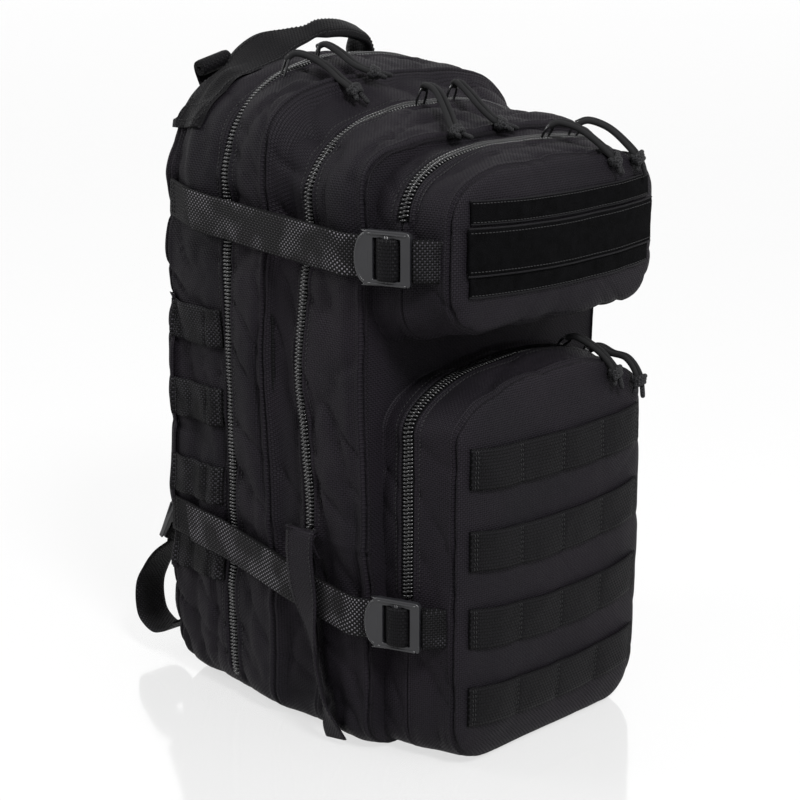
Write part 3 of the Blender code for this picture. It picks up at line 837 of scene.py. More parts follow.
def wrinkles(p, amount=1.0):
    """Soft folds of padded cloth, in mm."""
    broad = 2.0 * noise(p, (0.055, 0.034, 0.080), 1)
    middle = 0.9 * noise(p, (0.022, 0.013, 0.034), 2)
    fine = 0.22 * noise(p, (0.007, 0.006, 0.009), 3)
    crease = -2.0 * (1 - np.abs(noise(p, (0.060, 0.024, 0.095), 4))) ** 8
    slanted = p @ np.array([[1, 0, 0], [0, 0.8, 0.6], [0, -0.6, 0.8]])
    drag = -1.4 * (1 - np.abs(noise(slanted, (0.070, 0.022, 0.060), 15))) ** 8
    return 1.7 * amount * (broad + middle + fine + crease + drag)


def bulge(y, start, end, height):
    """Padding between two seams: 0 at both, height halfway."""
    t = np.clip((y - start) / (end - start), 0, 1)
    return height * 4 * t * (1 - t)


def pucker(p, distance, amount=0.4):
    """Small gathers beside a seam."""
    return amount * noise(p, (0.006, 0.012, 0.008), 5) * bell(distance, 5.0, 5.0)


def body_relief(p):
    """How far the body's cloth stands proud, in metres."""
    y, z = p[..., 1] / MM, p[..., 2] / MM
    side = smooth(80, 100, np.abs(p[..., 0] / MM))
    rear, middle = np.abs(y - REAR_ZIP), np.abs(y - MIDDLE_ZIP)
    piping, front_seam = np.abs(y - PIPING), np.abs(y - FRONT_SEAM)
    off = zip_relief(rear, smooth(16, 22, z)) + zip_relief(middle, smooth(130, 136, z))
    off = off + seam(piping) + seam(front_seam) + 0.6 * seam(np.abs(y - BACK_SEAM))
    off = off + bulge(y, REAR_ZIP, PIPING, 2.0) + bulge(y, PIPING, MIDDLE_ZIP, -3.4)
    off = off + bulge(y, MIDDLE_ZIP - 2, FRONT_SEAM, 2.4) + bulge(y, REAR_ZIP, BACK_SEAM, 1.2)
    away = smooth(2, 9, np.min([rear, middle, piping, front_seam], axis=0))
    off = off + wrinkles(p) * (0.25 + 0.75 * away)
    for distance in (rear, piping, middle, front_seam):
        off = off + pucker(p, distance)
    for height in STRAP_HEIGHTS:
        above = z - height / MM
        off = off - side * 1.8 * bell(z, height / MM, 15) + side * 0.9 * bell(np.abs(above), 27, 9)
    lower_front = smooth(-46, -50, y) * side
    off = off + lower_front * (0.7 * bell(z, GUSSET_TOP + 1.5, 1.6) - 0.9 * bell(z, GUSSET_TOP - 0.6, 0.9))
    off = off * (0.15 + 0.85 * smooth(1, 16, z))
    return off * MM


def pocket_relief(p, zip_y, zip_end):
    """How far a pocket's cloth stands proud, in metres."""
    y, z = p[..., 1] / MM, p[..., 2] / MM
    distance, from_seam = np.abs(y - zip_y), np.abs(y + SEAM_DEPTH)
    off = zip_relief(distance, smooth(zip_end - 2, zip_end + 3, z))
    off = off + seam(from_seam)
    off = off + wrinkles(p, 0.6) * (0.3 + 0.7 * smooth(3, 10, distance)) + pucker(p, from_seam, 0.35)
    off = off * (0.15 + 0.85 * smooth(1, 14, z))
    return off * MM


def stack(keys, depths, relief):
    """Loops of a shell at the depths, pushed out by the relief, with their thread coordinates."""
    loops = np.zeros((len(depths), AROUND, 3))
    for k, y in enumerate(depths):
        loops[k, :, [0, 2]] = outline(keys, y * MM).T
        loops[k, :, 1] = y * MM
    outward = -1 if depths[-1] < depths[0] else 1
    normals = loop_normals(loops, -outward)
    middle = np.array((0, 0, 200 * MM))
    if ((loops[0] - middle) * normals[0] * (1, 0, 1)).sum() < 0:
        normals = -normals
    normals[..., 1] *= 0.3
    moved = loops + unit(normals) * relief(loops)[..., None]
    moved[..., 2] = np.maximum(moved[..., 2], 0.4 * MM)
    arc = np.linalg.norm(np.roll(loops, -1, axis=1) - loops, axis=2)
    weave = np.zeros(loops.shape)
    weave[..., 0] = np.cumsum(arc.mean(0))[None]
    weave[..., 1] = np.array(depths)[:, None] * MM
    return moved, weave


def cap_rows(edge, depth, spacing=3.0):
    """Loops that close a panel: the edge shrunk towards its middle, at the depth the function gives."""
    centre = np.array((0, 0, (edge[:, 2].max() + edge[:, 2].min()) / 2))
    span = np.abs(edge[:, 0]).max() / MM
    near = [0.6, 1.3, 2.1, 3.0, 4.2, 5.8, 8.0]
    insets = np.r_[near, np.arange(8.0 + spacing, span - spacing, spacing), span - 0.5]
    loops = []
    for inset in insets:
        share = 1 - inset / span
        loop = edge.copy()
        loop[:, [0, 2]] = centre[[0, 2]] + (edge[:, [0, 2]] - centre[[0, 2]]) * share
        loop[:, 1] = depth(loop, inset, edge[:, 1])
        loops.append(loop)
    loops = np.array(loops)
    return loops, flat_weave(loops)


def tree_of(*pieces_of_cloth):
    """Ray-cast tree of the outer cloth of pieces."""
    verts, faces, count = [], [], 0
    for piece in pieces_of_cloth:
        mesh = piece.data
        co = np.zeros(len(mesh.vertices) * 3)
        mesh.vertices.foreach_get("co", co)
        verts.append(co.reshape(-1, 3))
        faces += [[i + count for i in poly.vertices] for poly in mesh.polygons]
        count += len(mesh.vertices)
    return BVHTree.FromPolygons([tuple(v) for v in np.vstack(verts)], faces)


def drop(tree, point, direction, start=30 * MM, reach=70 * MM):
    """Where a ray along the direction, from just outside the point, meets the cloth; and the normal there."""
    direction = Vector(direction).normalized()
    hit, normal, _, _ = tree.ray_cast(Vector(point) - direction * start, direction, reach)
    if hit is None:
        return np.array(point, float), -np.array(direction)
    if normal.dot(direction) > 0:
        normal = -normal
    return np.array(hit), np.array(normal)


def body_shell(name, start, end, node_name, cap=None):
    depths = rows_between(start, end, (REAR_ZIP, PIPING, MIDDLE_ZIP, FRONT_SEAM, BACK_SEAM))
    loops, weave = stack(BODY_KEYS, depths, body_relief)
    if cap:
        more, coords = cap_rows(loops[-1], cap)
        loops, weave = np.concatenate([loops, more]), np.concatenate([weave, coords])
    loops = settle(loops)
    piece = shell(name, loops, weave, BODY_CLOTH, SHELL, facing(loops), capped=bool(cap))
    return fit(piece, "shell_fabric", node_name)


def facing(loops):
    """1 or -1, whichever makes loop_normals point away from the pack's middle."""
    normals = loop_normals(loops, 1)[:4]
    away = loops[:4] - np.array((0, 0, loops[0, :, 2].mean()))
    return 1 if (normals * away * (1, 0, 1)).sum() > 0 else -1


def back_depth(loop, inset, edge_y):
    proud = 3.0 * (1 - math.exp(-inset / 9.0))
    return edge_y + (proud + 0.5 * noise(loop, (0.05, 0.05, 0.06), 9)) * MM


def front_depth(loop, inset, edge_y):
    proud = 2.0 * (1 - math.exp(-inset / 6.0))
    return edge_y - (proud + 0.6 * noise(loop, (0.03, 0.03, 0.04), 8) * min(1, inset / 8)) * MM


rear_shell = body_shell("rear_shell_cloth", 31.2, 99, "rear_shell", cap=back_depth)
middle_shell = body_shell("middle_shell_cloth", 30.8, -42.8, "middle_shell")
front_shell = body_shell("front_shell_cloth", -43.2, -92, "front_shell", cap=front_depth)


def pocket_shells(label, keys, zip_y, zip_end, crown):
    """Base ring on the front body, and the pocket's front, which is not put on any body."""
    def relief(p):
        return pocket_relief(p, zip_y / MM, zip_end / MM)

    marks = (zip_y / MM, -SEAM_DEPTH)
    loops, weave = stack(keys, rows_between(-91.5, zip_y / MM + 0.2, marks), relief)
    ring = shell(f"{label}_pocket_ring", loops, weave, POCKET_CLOTH, SHELL, facing(loops))
    fit(ring, "shell_fabric", body="front")
    loops, weave = stack(keys, rows_between(zip_y / MM - 0.2, -SEAM_DEPTH - 1.2, marks), relief)

    def depth(loop, inset, edge_y):
        round_off = 1.6 * (1 - math.exp(-inset / 2.5))
        proud = crown * (1 - math.exp(-inset / 20.0))
        fuss = 0.8 * noise(loop, (0.045, 0.05, 0.030), 6) + 0.3 * noise(loop, (0.014, 0.02, 0.010), 7)
        return edge_y - (round_off + proud + fuss * min(1, inset / 10)) * MM

    more, coords = cap_rows(loops[-1], depth, 2.6)
    loops, weave = np.concatenate([loops, more]), np.concatenate([weave, coords])
    front = shell(f"{label}_pocket_front", loops, weave, POCKET_CLOTH, SHELL, facing(loops), capped=True)
    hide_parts(f"{label}_pocket", f"{label}_flap")
    return ring, front


upper_ring, upper_front = pocket_shells("upper", UPPER_KEYS, UPPER_ZIP_Y, UPPER_FOLD_Z, 5.5)
lower_ring, lower_front = pocket_shells("lower", LOWER_KEYS, LOWER_ZIP_Y, LOWER_FOLD_Z, 6.5)
BODY_TREE = tree_of(rear_shell, middle_shell, front_shell)
UPPER_TREE = tree_of(upper_ring, upper_front)
LOWER_TREE = tree_of(lower_ring, lower_front)
SOFT_FRONTS = ((upper_front, "upper_lid", UPPER_FOLD_Z), (lower_front, "lower_lid", LOWER_FOLD_Z))


# ---- Stitches and zippers ----

def stitch_mesh(points, normals, spacing=3.0 * MM, length=2.0 * MM, radius=0.3 * MM):
    """Sewn line: short rounded threads that sink into the cloth at both ends."""
    line = np.asarray(points, float)
    steps = steps_along(line)
    starts = np.arange(spacing / 2, steps[-1] - length, spacing)
    sample = starts[:, None] + length * np.array([0.0, 0.3, 0.7, 1.0])
    at = read_at(sample, steps, line)
    up = unit(read_at(sample, steps, normals))
    at = at + up * (np.array([-0.25, 0.28, 0.28, -0.25]) * MM)[None, :, None]
    parts = [tube(row, radius * np.array([0.6, 1, 1, 0.6]), 5, tips=False) for row in at]
    return merged(parts) if parts else None


def joined_stitches(name, lines, body, slot="shell_fabric", **settings):
    parts = [stitch_mesh(p, n, **settings) for p, n in lines if len(p) > 1]
    piece = make_mesh(name, *merged([p for p in parts if p])[:2], THREAD)
    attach(piece, body)
    return piece


def arch_line(keys, y, z_low, tree, lift):
    """Points and normals on the cloth along the outline at depth y, from low on the left over the top."""
    loop = outline(keys, y, 0.0, 1200)
    loop = np.roll(loop, -600, axis=0)
    high = loop[:, 1] > z_low
    first = np.argmax(high)
    keep = loop if high.all() else loop[first: len(loop) - np.argmax(high[::-1])]
    keep = resample(keep[keep[:, 1] > z_low], 2.0 * MM)
    flat = np.c_[keep[:, 0], np.full(len(keep), y), keep[:, 1]]
    tangent = unit(np.gradient(flat, axis=0))
    outward = np.cross(tangent, (0, 1, 0))
    middle = np.array((0, y, 200 * MM))
    outward *= np.sign(((flat - middle) * outward).sum(-1).mean())
    hits = [drop(tree, p, -n, 12 * MM, 24 * MM)[0] for p, n in zip(settle(flat), outward)]
    line = np.array(hits) + outward * lift
    for k in range(3):
        line[:, k] = smoothed(line[:, k], np.ones(5) / 5)
    return line, outward


def teeth_mesh(line, normals, sign, pitch=2.35 * MM):
    """Half of a coil: slanted round bars that reach over the middle of the chain."""
    points = resample(line, pitch)
    ups = unit(read_at(np.linspace(0, 1, len(points)), np.linspace(0, 1, len(line)), normals))
    along = unit(np.gradient(points, axis=0))
    across = np.cross(along, ups)
    across *= np.sign(across[:, 1].mean()) * sign
    shift = 0.25 * pitch * sign
    parts = []
    profile = ((-0.95, 0.2), (-0.7, 1.0), (0.4, 1.75), (2.2, 1.7), (3.4, 1.0), (3.8, -0.2))
    for p, u, a, c in zip(points, ups, along, across):
        bar = [p + a * (shift + 0.16 * w * MM * sign) + c * w * MM + u * h * MM for w, h in profile]
        parts.append(tube(bar, np.array([0.5, 0.8, 0.88, 0.86, 0.74, 0.45]) * MM, 7))
    return merged(parts)


def zip_chain(label, keys, y, z_low, tree):
    """Both halves of a zipper: coil, tape and the sewn line beside it."""
    for sign, half in ((1, "back"), (-1, "front")):
        node_name = f"{label}_zipper_{half}"
        body = body_of(node_name)
        line, normals = arch_line(keys, y + sign * 2.0 * MM, z_low, tree, 0.1 * MM)
        centre = line.copy()
        centre[:, 1] -= sign * 2.0 * MM
        coil = make_mesh(f"{node_name}_coil", *teeth_mesh(centre, normals, sign)[:2], COIL)
        fit(coil, "zipper_chain", node_name, body=body)
        tape_line = line + normals * 0.15 * MM
        tape_line[:, 1] += sign * 0.3 * MM
        verts, faces, coords = ribbon(tape_line, normals, 4.4 * MM, 0.5 * MM, 6, 0.1 * MM)
        tape = make_mesh(f"{node_name}_tape", verts, faces, WEB, coords)
        fit(tape, "zipper_chain", body=body)
        sewn = arch_line(keys, y + sign * 8.4 * MM, z_low + 2 * MM, tree, 0.05 * MM)
        joined_stitches(f"{node_name}_stitches", [sewn], body)


zip_chain("rear", BODY_KEYS, REAR_ZIP_Y, 20 * MM, BODY_TREE)
zip_chain("middle", BODY_KEYS, MIDDLE_ZIP_Y, MIDDLE_ZIP_END_Z, BODY_TREE)
zip_chain("upper", UPPER_KEYS, UPPER_ZIP_Y, UPPER_FOLD_Z, UPPER_TREE)
zip_chain("lower", LOWER_KEYS, LOWER_ZIP_Y, LOWER_FOLD_Z, LOWER_TREE)


def make_slider(zip_name, side, keys, zip_y, x_mm, route):
    """Slider: a waisted body over the chain, a bail, and the metal loop that the cord goes through."""
    name = f"{zip_name}_slider_{side}"
    z, slope = arch_at(keys, zip_y / MM, x_mm * MM)
    along = np.array((1, 0, slope)) / math.hypot(1, slope)
    up = np.array((-along[2], 0, along[0]))
    origin = np.array((x_mm * MM, zip_y, z)) + up * 2.0 * MM
    toward = np.array((0, -1.0, 0))
    plan = ((-6.2, 3.0), (-4.5, 4.2), (-1, 4.5), (2.5, 3.9), (4.8, 2.6), (6.4, 1.6))
    verts = []
    levels = ((0.0, 0.92), (0.4, 1.0), (1.5, 1.0), (2.1, 0.86), (2.3, 0.6))
    outline_at = [*plan, *((a, -w) for a, w in plan[::-1])]
    for height, share in levels:
        for a, w in outline_at:
            verts.append(origin + (along * a * (0.5 + share / 2) + toward * w * share + up * height) * MM)
    around = len(outline_at)
    faces = ring_faces(len(levels), around) + end_faces(len(levels), around)
    parts = [(np.array(verts), faces, np.zeros((len(verts), 3)))]
    t = np.linspace(0, math.pi, 12)
    bail = origin + (along * (-np.cos(t) * 4.2)[:, None] + up * (1.6 + np.sin(t) * 3.0)[:, None]) * MM
    parts.append(tube(bail, 0.75 * MM, 8))
    start, following = np.array(route[0]) * MM, np.array(route[1]) * MM
    reach = unit(following - start)
    tip = start + reach * 1.5 * MM
    centre = origin + up * 3.6 * MM
    axis = unit(tip - centre)
    length = np.linalg.norm(tip - centre)
    across = unit(np.cross(axis, up))
    t = np.linspace(0, 2 * math.pi, 28)
    ring = (centre + axis * ((0.5 - 0.58 * np.cos(t)) * length)[:, None]
            + across * (np.sin(t) * 3.3 * MM * (1 - 0.25 * np.cos(t)))[:, None])
    parts.append(tube(ring, 0.8 * MM, 8))
    fit(merged_mesh(f"{name}_metal", parts, METAL), "slider_metal", name)


for entry in PULLS:
    make_slider(*entry)


# ---- Webbing on the pockets ----

def laid_strip(name, tree, low, high, across_size, look, body, node_name, *, thick=1.5, tacks=(),
               lift=0.4, proud=1.4, direction=(0, 1, 0), columns=12, wave=0.5, sag=0.0):
    """Strip from point low to point high, laid on cloth, standing proud between its tacks."""
    low, high = np.array(low, float), np.array(high, float)
    length = np.linalg.norm(high - low)
    count = int(length / (1.3 * MM)) + 1
    along = (high - low) / length
    toward = np.array(direction, float)
    across = np.cross(toward, along)
    run = np.linspace(0, length, count)
    v = np.linspace(-0.5, 0.5, columns)
    hits = np.zeros((count, columns))
    drooped = -sag * MM * (1 - (2 * run / length - 1) ** 2)
    for i, r in enumerate(run):
        for j, share in enumerate(v):
            p = low + along * r + across * share * across_size + (0, 0, drooped[i])
            hit, _ = drop(tree, p, toward)
            hits[i, j] = (hit * toward).sum()
    calm = smoothed(hits.mean(1), SOFT_KERNEL)
    tilt = (hits[:, -1] - hits[:, 0]).mean() * v
    surface = 0.45 * hits + 0.55 * (calm[:, None] + tilt[None])
    surface = np.minimum(surface, hits - 0.05 * MM)
    rise = np.zeros(count)
    for a, b in zip(tacks, tacks[1:]):
        t = np.clip((run - a) / (b - a), 0, 1)
        rise += np.sin(math.pi * t) ** 0.6 * proud * MM * (t > 0) * (t < 1)
    for stop in tacks:
        rise -= 0.35 * MM * bell(run, stop, 1.4 * MM)
    rows_at = low + along * run[:, None]
    ripple = wave * MM * noise(np.c_[run, np.full(count, low[2]), run * 0], 0.03, 5)
    rows_at = rows_at + np.c_[run * 0, run * 0, drooped]
    grid = rows_at[:, None] + across * (v * across_size)[None, :, None] + across * ripple[:, None, None] * 0.6
    level = surface - (rise[:, None] + lift * MM)
    other = 1 - np.abs(toward)
    top = grid * other + toward * (level - thick * MM)[..., None]
    under = grid * other + toward * level[..., None]
    edge_drop = np.zeros(columns)
    edge_drop[[0, -1]] = 0.35 * MM
    top = top + toward * edge_drop[None, :, None]
    loops = np.concatenate([top, under[:, ::-1]], axis=1)
    weave = np.zeros(loops.shape)
    weave[..., 0] = run[:, None]
    weave[:, :columns, 1] = v * across_size
    weave[:, columns:, 1] = (v * across_size)[::-1]
    faces = band_faces(count, columns, np.dot(np.cross(along, across), toward) <= 0)
    piece = make_mesh(name, loops.reshape(-1, 3), faces, look, weave.reshape(-1, 3))
    if node_name:
        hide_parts(node_name)
    if body:
        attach(piece, body)
    return {"run": run, "top": top, "out": -toward}


def tack_stitches(strip, stops, rows=(-0.8, 0.8)):
    """Sewn lines across a strip at its tacks."""
    lines = []
    for stop in stops:
        for shift in rows:
            at = np.clip(stop + shift * MM, strip["run"][0], strip["run"][-1])
            row = np.array([read_at(at, strip["run"], column) for column in strip["top"].swapaxes(0, 1)])
            lines.append((row, np.tile(strip["out"], (len(row), 1))))
    return lines


def edge_stitches(strip):
    """Sewn lines along both edges of a strip."""
    outward = np.tile(strip["out"], (len(strip["run"]), 1))
    return [(strip["top"][:, j], outward) for j in (1, -2)]


ROW_TOPS = (201.5, 152, 102.5, 53)
ROW_HALF = 74 * MM
ROW_COLUMN = 37 * MM


def pocket_webbing():
    """Four rows on the lower pocket, sewn down in columns and sagging between."""
    for k, top in enumerate(ROW_TOPS):
        name = f"pocket_webbing_{k + 1}"
        z = top * MM - WEBBING / 2
        body = "lower_lid" if k < 2 else "front"
        tilt = (0.6, -0.4, 0.8, 0.2)[k] * MM
        half = ROW_HALF + 3 * MM
        tacks = [3.5 * MM, *[3 * MM + ROW_COLUMN * c for c in range(1, 4)], 2 * half - 3.5 * MM]
        strip = laid_strip(f"{name}_band", LOWER_TREE, (-half, PANEL_Y, z + tilt), (half, PANEL_Y, z - tilt),
                           WEBBING, WEB, body, name, tacks=tacks, proud=1.2, wave=0.8,
                           sag=(3.0, 4.5, 5.0, 4.0)[k])
        joined_stitches(f"{name}_stitches", tack_stitches(strip, tacks), body, "webbing")


def loop_tape():
    """Three strips of loop tape with woven edges on the upper pocket."""
    rows = (("top", 333, 346, 79, "upper_lid", 0.2), ("bottom", 291.5, 305, 80, "front", 0.2),
            ("middle", 304, 331, 82, "front", 1.5))
    for label, low, high, half, body, lift in rows:
        name = f"loop_strip_{label}"
        z, size, x = (low + high) / 2 * MM, (high - low) * MM, half * MM
        strip = laid_strip(f"{name}_tape", UPPER_TREE, (-x, PANEL_Y, z), (x, PANEL_Y, z), size, LOOP,
                           body, name, thick=1.3, lift=lift, sag=3.0)
        joined_stitches(f"{name}_stitches", edge_stitches(strip), body, "loop_tape", spacing=2.6 * MM,
                        length=1.8 * MM)
        edges = [strip["top"][:, j] + strip["out"] * -0.2 * MM for j in (0, -1)]
        border = merged_mesh(f"{name}_selvedge", [tube(edge, 0.65 * MM, 8) for edge in edges], LOOP_EDGE)
        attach(border, body)


pocket_webbing()
loop_tape()
SIDE_ROW_LOWS = (79, 130.5, 182, 233.5)


def side_rows():
    """Four short rows on each side at the back, and the tape over their seam."""
    for sign, side in LEFT_RIGHT:
        name = f"side_webbing_{side}"
        direction = (-sign, 0, 0)
        x = sign * 105 * MM
        lines = []
        for k, low in enumerate(SIDE_ROW_LOWS):
            z = low * MM + WEBBING / 2
            tacks = (1.5 * MM, 13 * MM, 47 * MM, 53 * MM)
            strip = laid_strip(f"{name}_row_{k + 1}", BODY_TREE, (x, 40 * MM, z), (x, 94 * MM, z), WEBBING,
                               WEB_SIDE, "back", name if k == 0 else None, tacks=tacks, proud=1.8,
                               direction=direction, wave=0.4)
            lines += tack_stitches(strip, (2.5 * MM, 12 * MM, 47 * MM), rows=(0,))
        laid_strip(f"{name}_seam_tape", BODY_TREE, (x, 91 * MM, 76 * MM), (x, 91 * MM, 262 * MM), 7 * MM,
                   SHELL, "back", None, thick=1.0, lift=1.7, direction=direction, columns=6,
                   wave=0.2)
        joined_stitches(f"{name}_stitches", lines, "back", "webbing")


side_rows()


# ---- Ladder locks ----

LOCK_WIDTH = 36
# How webbing passes over a lock's middle bar, in mm: along the lock and above it
OVER_THE_BARS = ((6.4, 2.4), (9.5, 3.7), (12.5, 4.0), (15.5, 3.5), (18, 1.4))


def rounded(corners, radius, steps=5):
    """Outline through corners with each corner rounded, in mm."""
    made = []
    count = len(corners)
    for i in range(count):
        before, at, after = (np.array(corners[(i + k) % count], float) for k in (-1, 0, 1))
        back, forth = before - at, after - at
        reach = min(radius, np.linalg.norm(back) * 0.45, np.linalg.norm(forth) * 0.45)
        start, end = at + back / np.linalg.norm(back) * reach, at + forth / np.linalg.norm(forth) * reach
        for t in np.linspace(0, 1, steps):
            made.append((1 - t) ** 2 * start + 2 * t * (1 - t) * at + t ** 2 * end)
    return made


def add_outline(curve, points):
    """Adds a closed outline in mm to a flat curve."""
    spline = curve.splines.new("POLY")
    spline.points.add(len(points) - 1)
    for point, (a, b) in zip(spline.points, points):
        point.co = (a * MM, b * MM, 0, 1)
    spline.use_cyclic_u = True


def ladder_lock(name, bar, rear, normal_hint):
    """Lock with two windows and a half-round lever; it turns about its front bar. Gives its own axes."""
    bar, rear = np.array(bar) * MM, np.array(rear) * MM
    along = unit(rear - bar)
    hint = np.array(normal_hint, float)
    normal = unit(hint - along * np.dot(hint, along))
    across = np.cross(normal, along)
    curve = bpy.data.curves.new(f"{name}_frame", "CURVE")
    curve.dimensions = "2D"
    curve.fill_mode = "BOTH"
    curve.extrude = 1.35 * MM
    curve.bevel_depth = 0.75 * MM
    curve.bevel_resolution = 4
    half = LOCK_WIDTH / 2 - 2.4
    turn = np.linspace(-math.pi / 2, math.pi / 2, 25)
    lever = [(25 + 7.5 * math.cos(t), (half - 1.2) * math.sin(t)) for t in turn]
    shoulders = rounded([(-2.4, half), (-2.4, -half), (25.0, -half), (26.5, -half + 1.2)], 3.0)[:-5]
    add_outline(curve, shoulders[5:15] + [(26.0, -half + 0.5)] + lever + [(26.0, half - 0.5)] + shoulders[:5])
    for low, high in ((2.4, 9.6), (14.4, 21.6)):
        add_outline(curve, rounded([(low, -12.7), (high, -12.7), (high, 12.7), (low, 12.7)], 1.6))
    curve.materials.append(BUCKLE)
    plate = linked(f"{name}_frame", curve)
    matrix = Matrix([[*row] for row in np.c_[along, across, normal]]).to_4x4()
    matrix.translation = Vector(bar)
    plate.matrix_world = matrix
    fit(plate, "buckle", name)

    def world(a, b, n):
        return bar + (along * a + across * b + normal * n) * MM

    parts = []
    for a, radius, lift in ((12.0, 2.0, 0.9), (24.2, 1.6, 0.6)):
        b = np.linspace(-13.4, 13.4, 9)
        line = np.array([world(a, w, lift - 0.3 * abs(w / 14) ** 3) for w in b])
        parts.append(tube(line, radius * MM, 10))
    t = np.linspace(-1.35, 1.35, 24)
    line = np.array([world(25 + 6.9 * math.cos(w), 13.9 * math.sin(w), 1.5) for w in t])
    parts.append(tube(line, 0.9 * MM, 8))
    for edge in (-1, 1):
        line = np.array([world(a, edge * 14.3, 1.9) for a in np.linspace(-0.5, 24, 12)])
        parts.append(tube(line, 0.8 * MM, 8))
    bars = merged_mesh(f"{name}_bars", parts, BUCKLE)
    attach(bars, body_of(name))
    return world


# ---- Compression straps ----

# Height of a strap in mm at each depth in mm
STRAP_ROUTES = {"upper": ((94, 325), (39, 319), (-30, 316), (-80, 312.5)),
                "lower": ((94, 115), (39, 110), (-30, 99), (-80, 92))}
LOCKS = {"upper": ((103.5, -124, 312), (116, -82, 312)), "lower": ((98.5, -127, 91), (115, -82, 91))}
TABS = {"upper": (86, -143.5, 314), "lower": (81.5, -143, 91)}
TAIL_ENDS = {("upper", "left"): 62, ("upper", "right"): 40, ("lower", "left"): 70, ("lower", "right"): 52}


def taut_line(points):
    """Depth and reach of a line pulled tight over points: their upper hull."""
    hull = []
    for p in sorted(map(tuple, points)):
        while len(hull) > 1:
            (ax, ay), (bx, by) = hull[-2], hull[-1]
            if (bx - ax) * (p[1] - ay) - (by - ay) * (p[0] - ax) >= 0:
                hull.pop()
            else:
                break
        hull.append(p)
    return np.array(hull)


def strap_reach(sign, level, anchor):
    """The tight path of a strap along the side: depth, reach and height, rear first."""
    route = np.array(STRAP_ROUTES[level], float)[::-1]
    depths = np.arange(-62, 92, 2.0)
    rows = []
    for y in depths:
        z = np.interp(y, route[:, 0], route[:, 1])
        hits = [abs(drop(BODY_TREE, np.array((sign * 105, y, z + dz)) * MM, (-sign, 0, 0))[0][0]) / MM
                for dz in (-9, 0, 9)]
        rows.append((y, max(hits) + 0.7))
    hull = taut_line(rows + [anchor])
    fine = np.linspace(hull[0, 0], hull[-1, 0], 90)
    reach = np.interp(fine, hull[:, 0], hull[:, 1])
    return fine, smoothed(reach, SOFT_KERNEL), np.interp(fine, route[:, 0], route[:, 1])


def clip_slanted(verts, end_y, lean, centre_z):
    """Cuts the end of a strap on a slant: nothing lies further back than the line."""
    limit = end_y + (verts[:, 2] - centre_z) * lean
    verts[:, 1] = np.minimum(verts[:, 1], limit)
    return verts


def strap_set(level, sign, side):
    """A compression strap: its band through the lock, loose tail, sewn stub and stitches."""
    name = f"{level}_compression_strap_{side}"
    bar, rear = LOCKS[level]
    mirror = np.array((sign, 1, 1))
    world = ladder_lock(f"{level}_ladder_lock_{side}", mirror * bar, mirror * rear, (sign, -0.2, 0))
    pinned = world(46, 0, -3.6) / MM
    depths, reach, heights = strap_reach(sign, level, (pinned[1], abs(pinned[0])))
    ripple = 0.25 * noise(np.c_[depths, depths * 0, depths * 0] * MM, 0.03, sign + len(level))
    main = np.c_[sign * (reach + 0.8 + np.abs(ripple)), depths, heights][::-1] * MM
    through = [(40, -3.2), (26, -3.4), (10, -3.0), (5.2, -1.0), *OVER_THE_BARS, (19, -0.6), (22, -1.7),
               (34, -1.75), (44, -1.7)]
    level_z = bar[2] * MM
    inner = np.array([world(a, 0, n) for a, n in through])
    run_in = smooth_path(np.vstack([main[::3], inner]), 1.6 * MM)
    normals = square_to(run_in, (0, 0, 1.0))
    normals *= np.sign(normals[0, 0]) * sign
    band = ribbon_piece(f"{name}_band", run_in, normals, 24.4 * MM, 1.3 * MM, WEB)
    fit(band, "webbing", name)
    behind = depths > pinned[1] - 1
    tail_depths, tail_reach, tail_z = depths[behind], reach[behind], heights[behind]
    lift = 2.5 + 0.5 * noise(np.c_[tail_depths, tail_depths * 0, tail_depths * 0] * MM, 0.024, 3 + sign)
    lift = lift + 0.8 * smooth(20, 60, tail_depths)
    tail = np.c_[sign * (tail_reach + lift), tail_depths, tail_z + 0.6 * np.sin(tail_depths / 21)] * MM
    tail = smooth_path(np.vstack([inner[-3:], tail[4::4]]), 1.6 * MM)
    end = TAIL_ENDS[level, side] * MM
    tail = tail[tail[:, 1] < end + 9 * MM]
    outward = square_to(tail, (0, 0, 1.0))
    outward *= sign * np.sign(outward[len(outward) // 2, 0])
    verts, faces, coords = ribbon(tail, outward, 24.6 * MM, 1.3 * MM, 10)
    verts = clip_slanted(verts, end, 0.42 if level == "upper" else 0.15, tail[-1, 2])
    loose = make_mesh(f"{name}_tail", verts, faces, WEB_TAIL, coords)
    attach(loose, "back")
    sewn = []
    for shift in (85, 88):
        z0 = np.interp(shift, depths, heights)
        x0 = sign * (np.interp(shift, depths, reach) + 1.5)
        rows = np.array([(x0, shift, z0 + w) for w in np.linspace(-11, 11, 12)]) * MM
        sewn.append((rows, np.tile((sign, 0, 0), (12, 1))))
    joined_stitches(f"{name}_stitches", sewn, "back", "webbing")
    tab_at = np.array(TABS[level], float)
    base = np.array((sign * tab_at[0], tab_at[1], level_z / MM)) * MM
    tab_line = np.vstack([base, base + (sign * 4 * MM, 2.5 * MM, 0), world(-7, 0, 0.6), world(-3.5, 0, -1.4),
                          world(0, 0, -2.6), world(3.4, 0, -3.0), world(2.8, 0, -4.4), world(-1, 0, -4.6),
                          world(-5, 0, -3.6), base + (sign * 3 * MM, 5.5 * MM, 0)])
    tab_line = smooth_path(tab_line, 1.0 * MM)
    outward = square_to(tab_line, (0, 0, 1.0))
    outward *= sign * np.sign(outward[3, 0])
    tab = ribbon_piece(f"{level}_lock_tab_{side}", tab_line, outward, 24.4 * MM, 1.2 * MM, WEB_SIDE)
    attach(tab, "front")


for sign, side in LEFT_RIGHT:
    for level in ("upper", "lower"):
        strap_set(level, sign, side)


# ---- Keeper straps, handle and rolled end ----

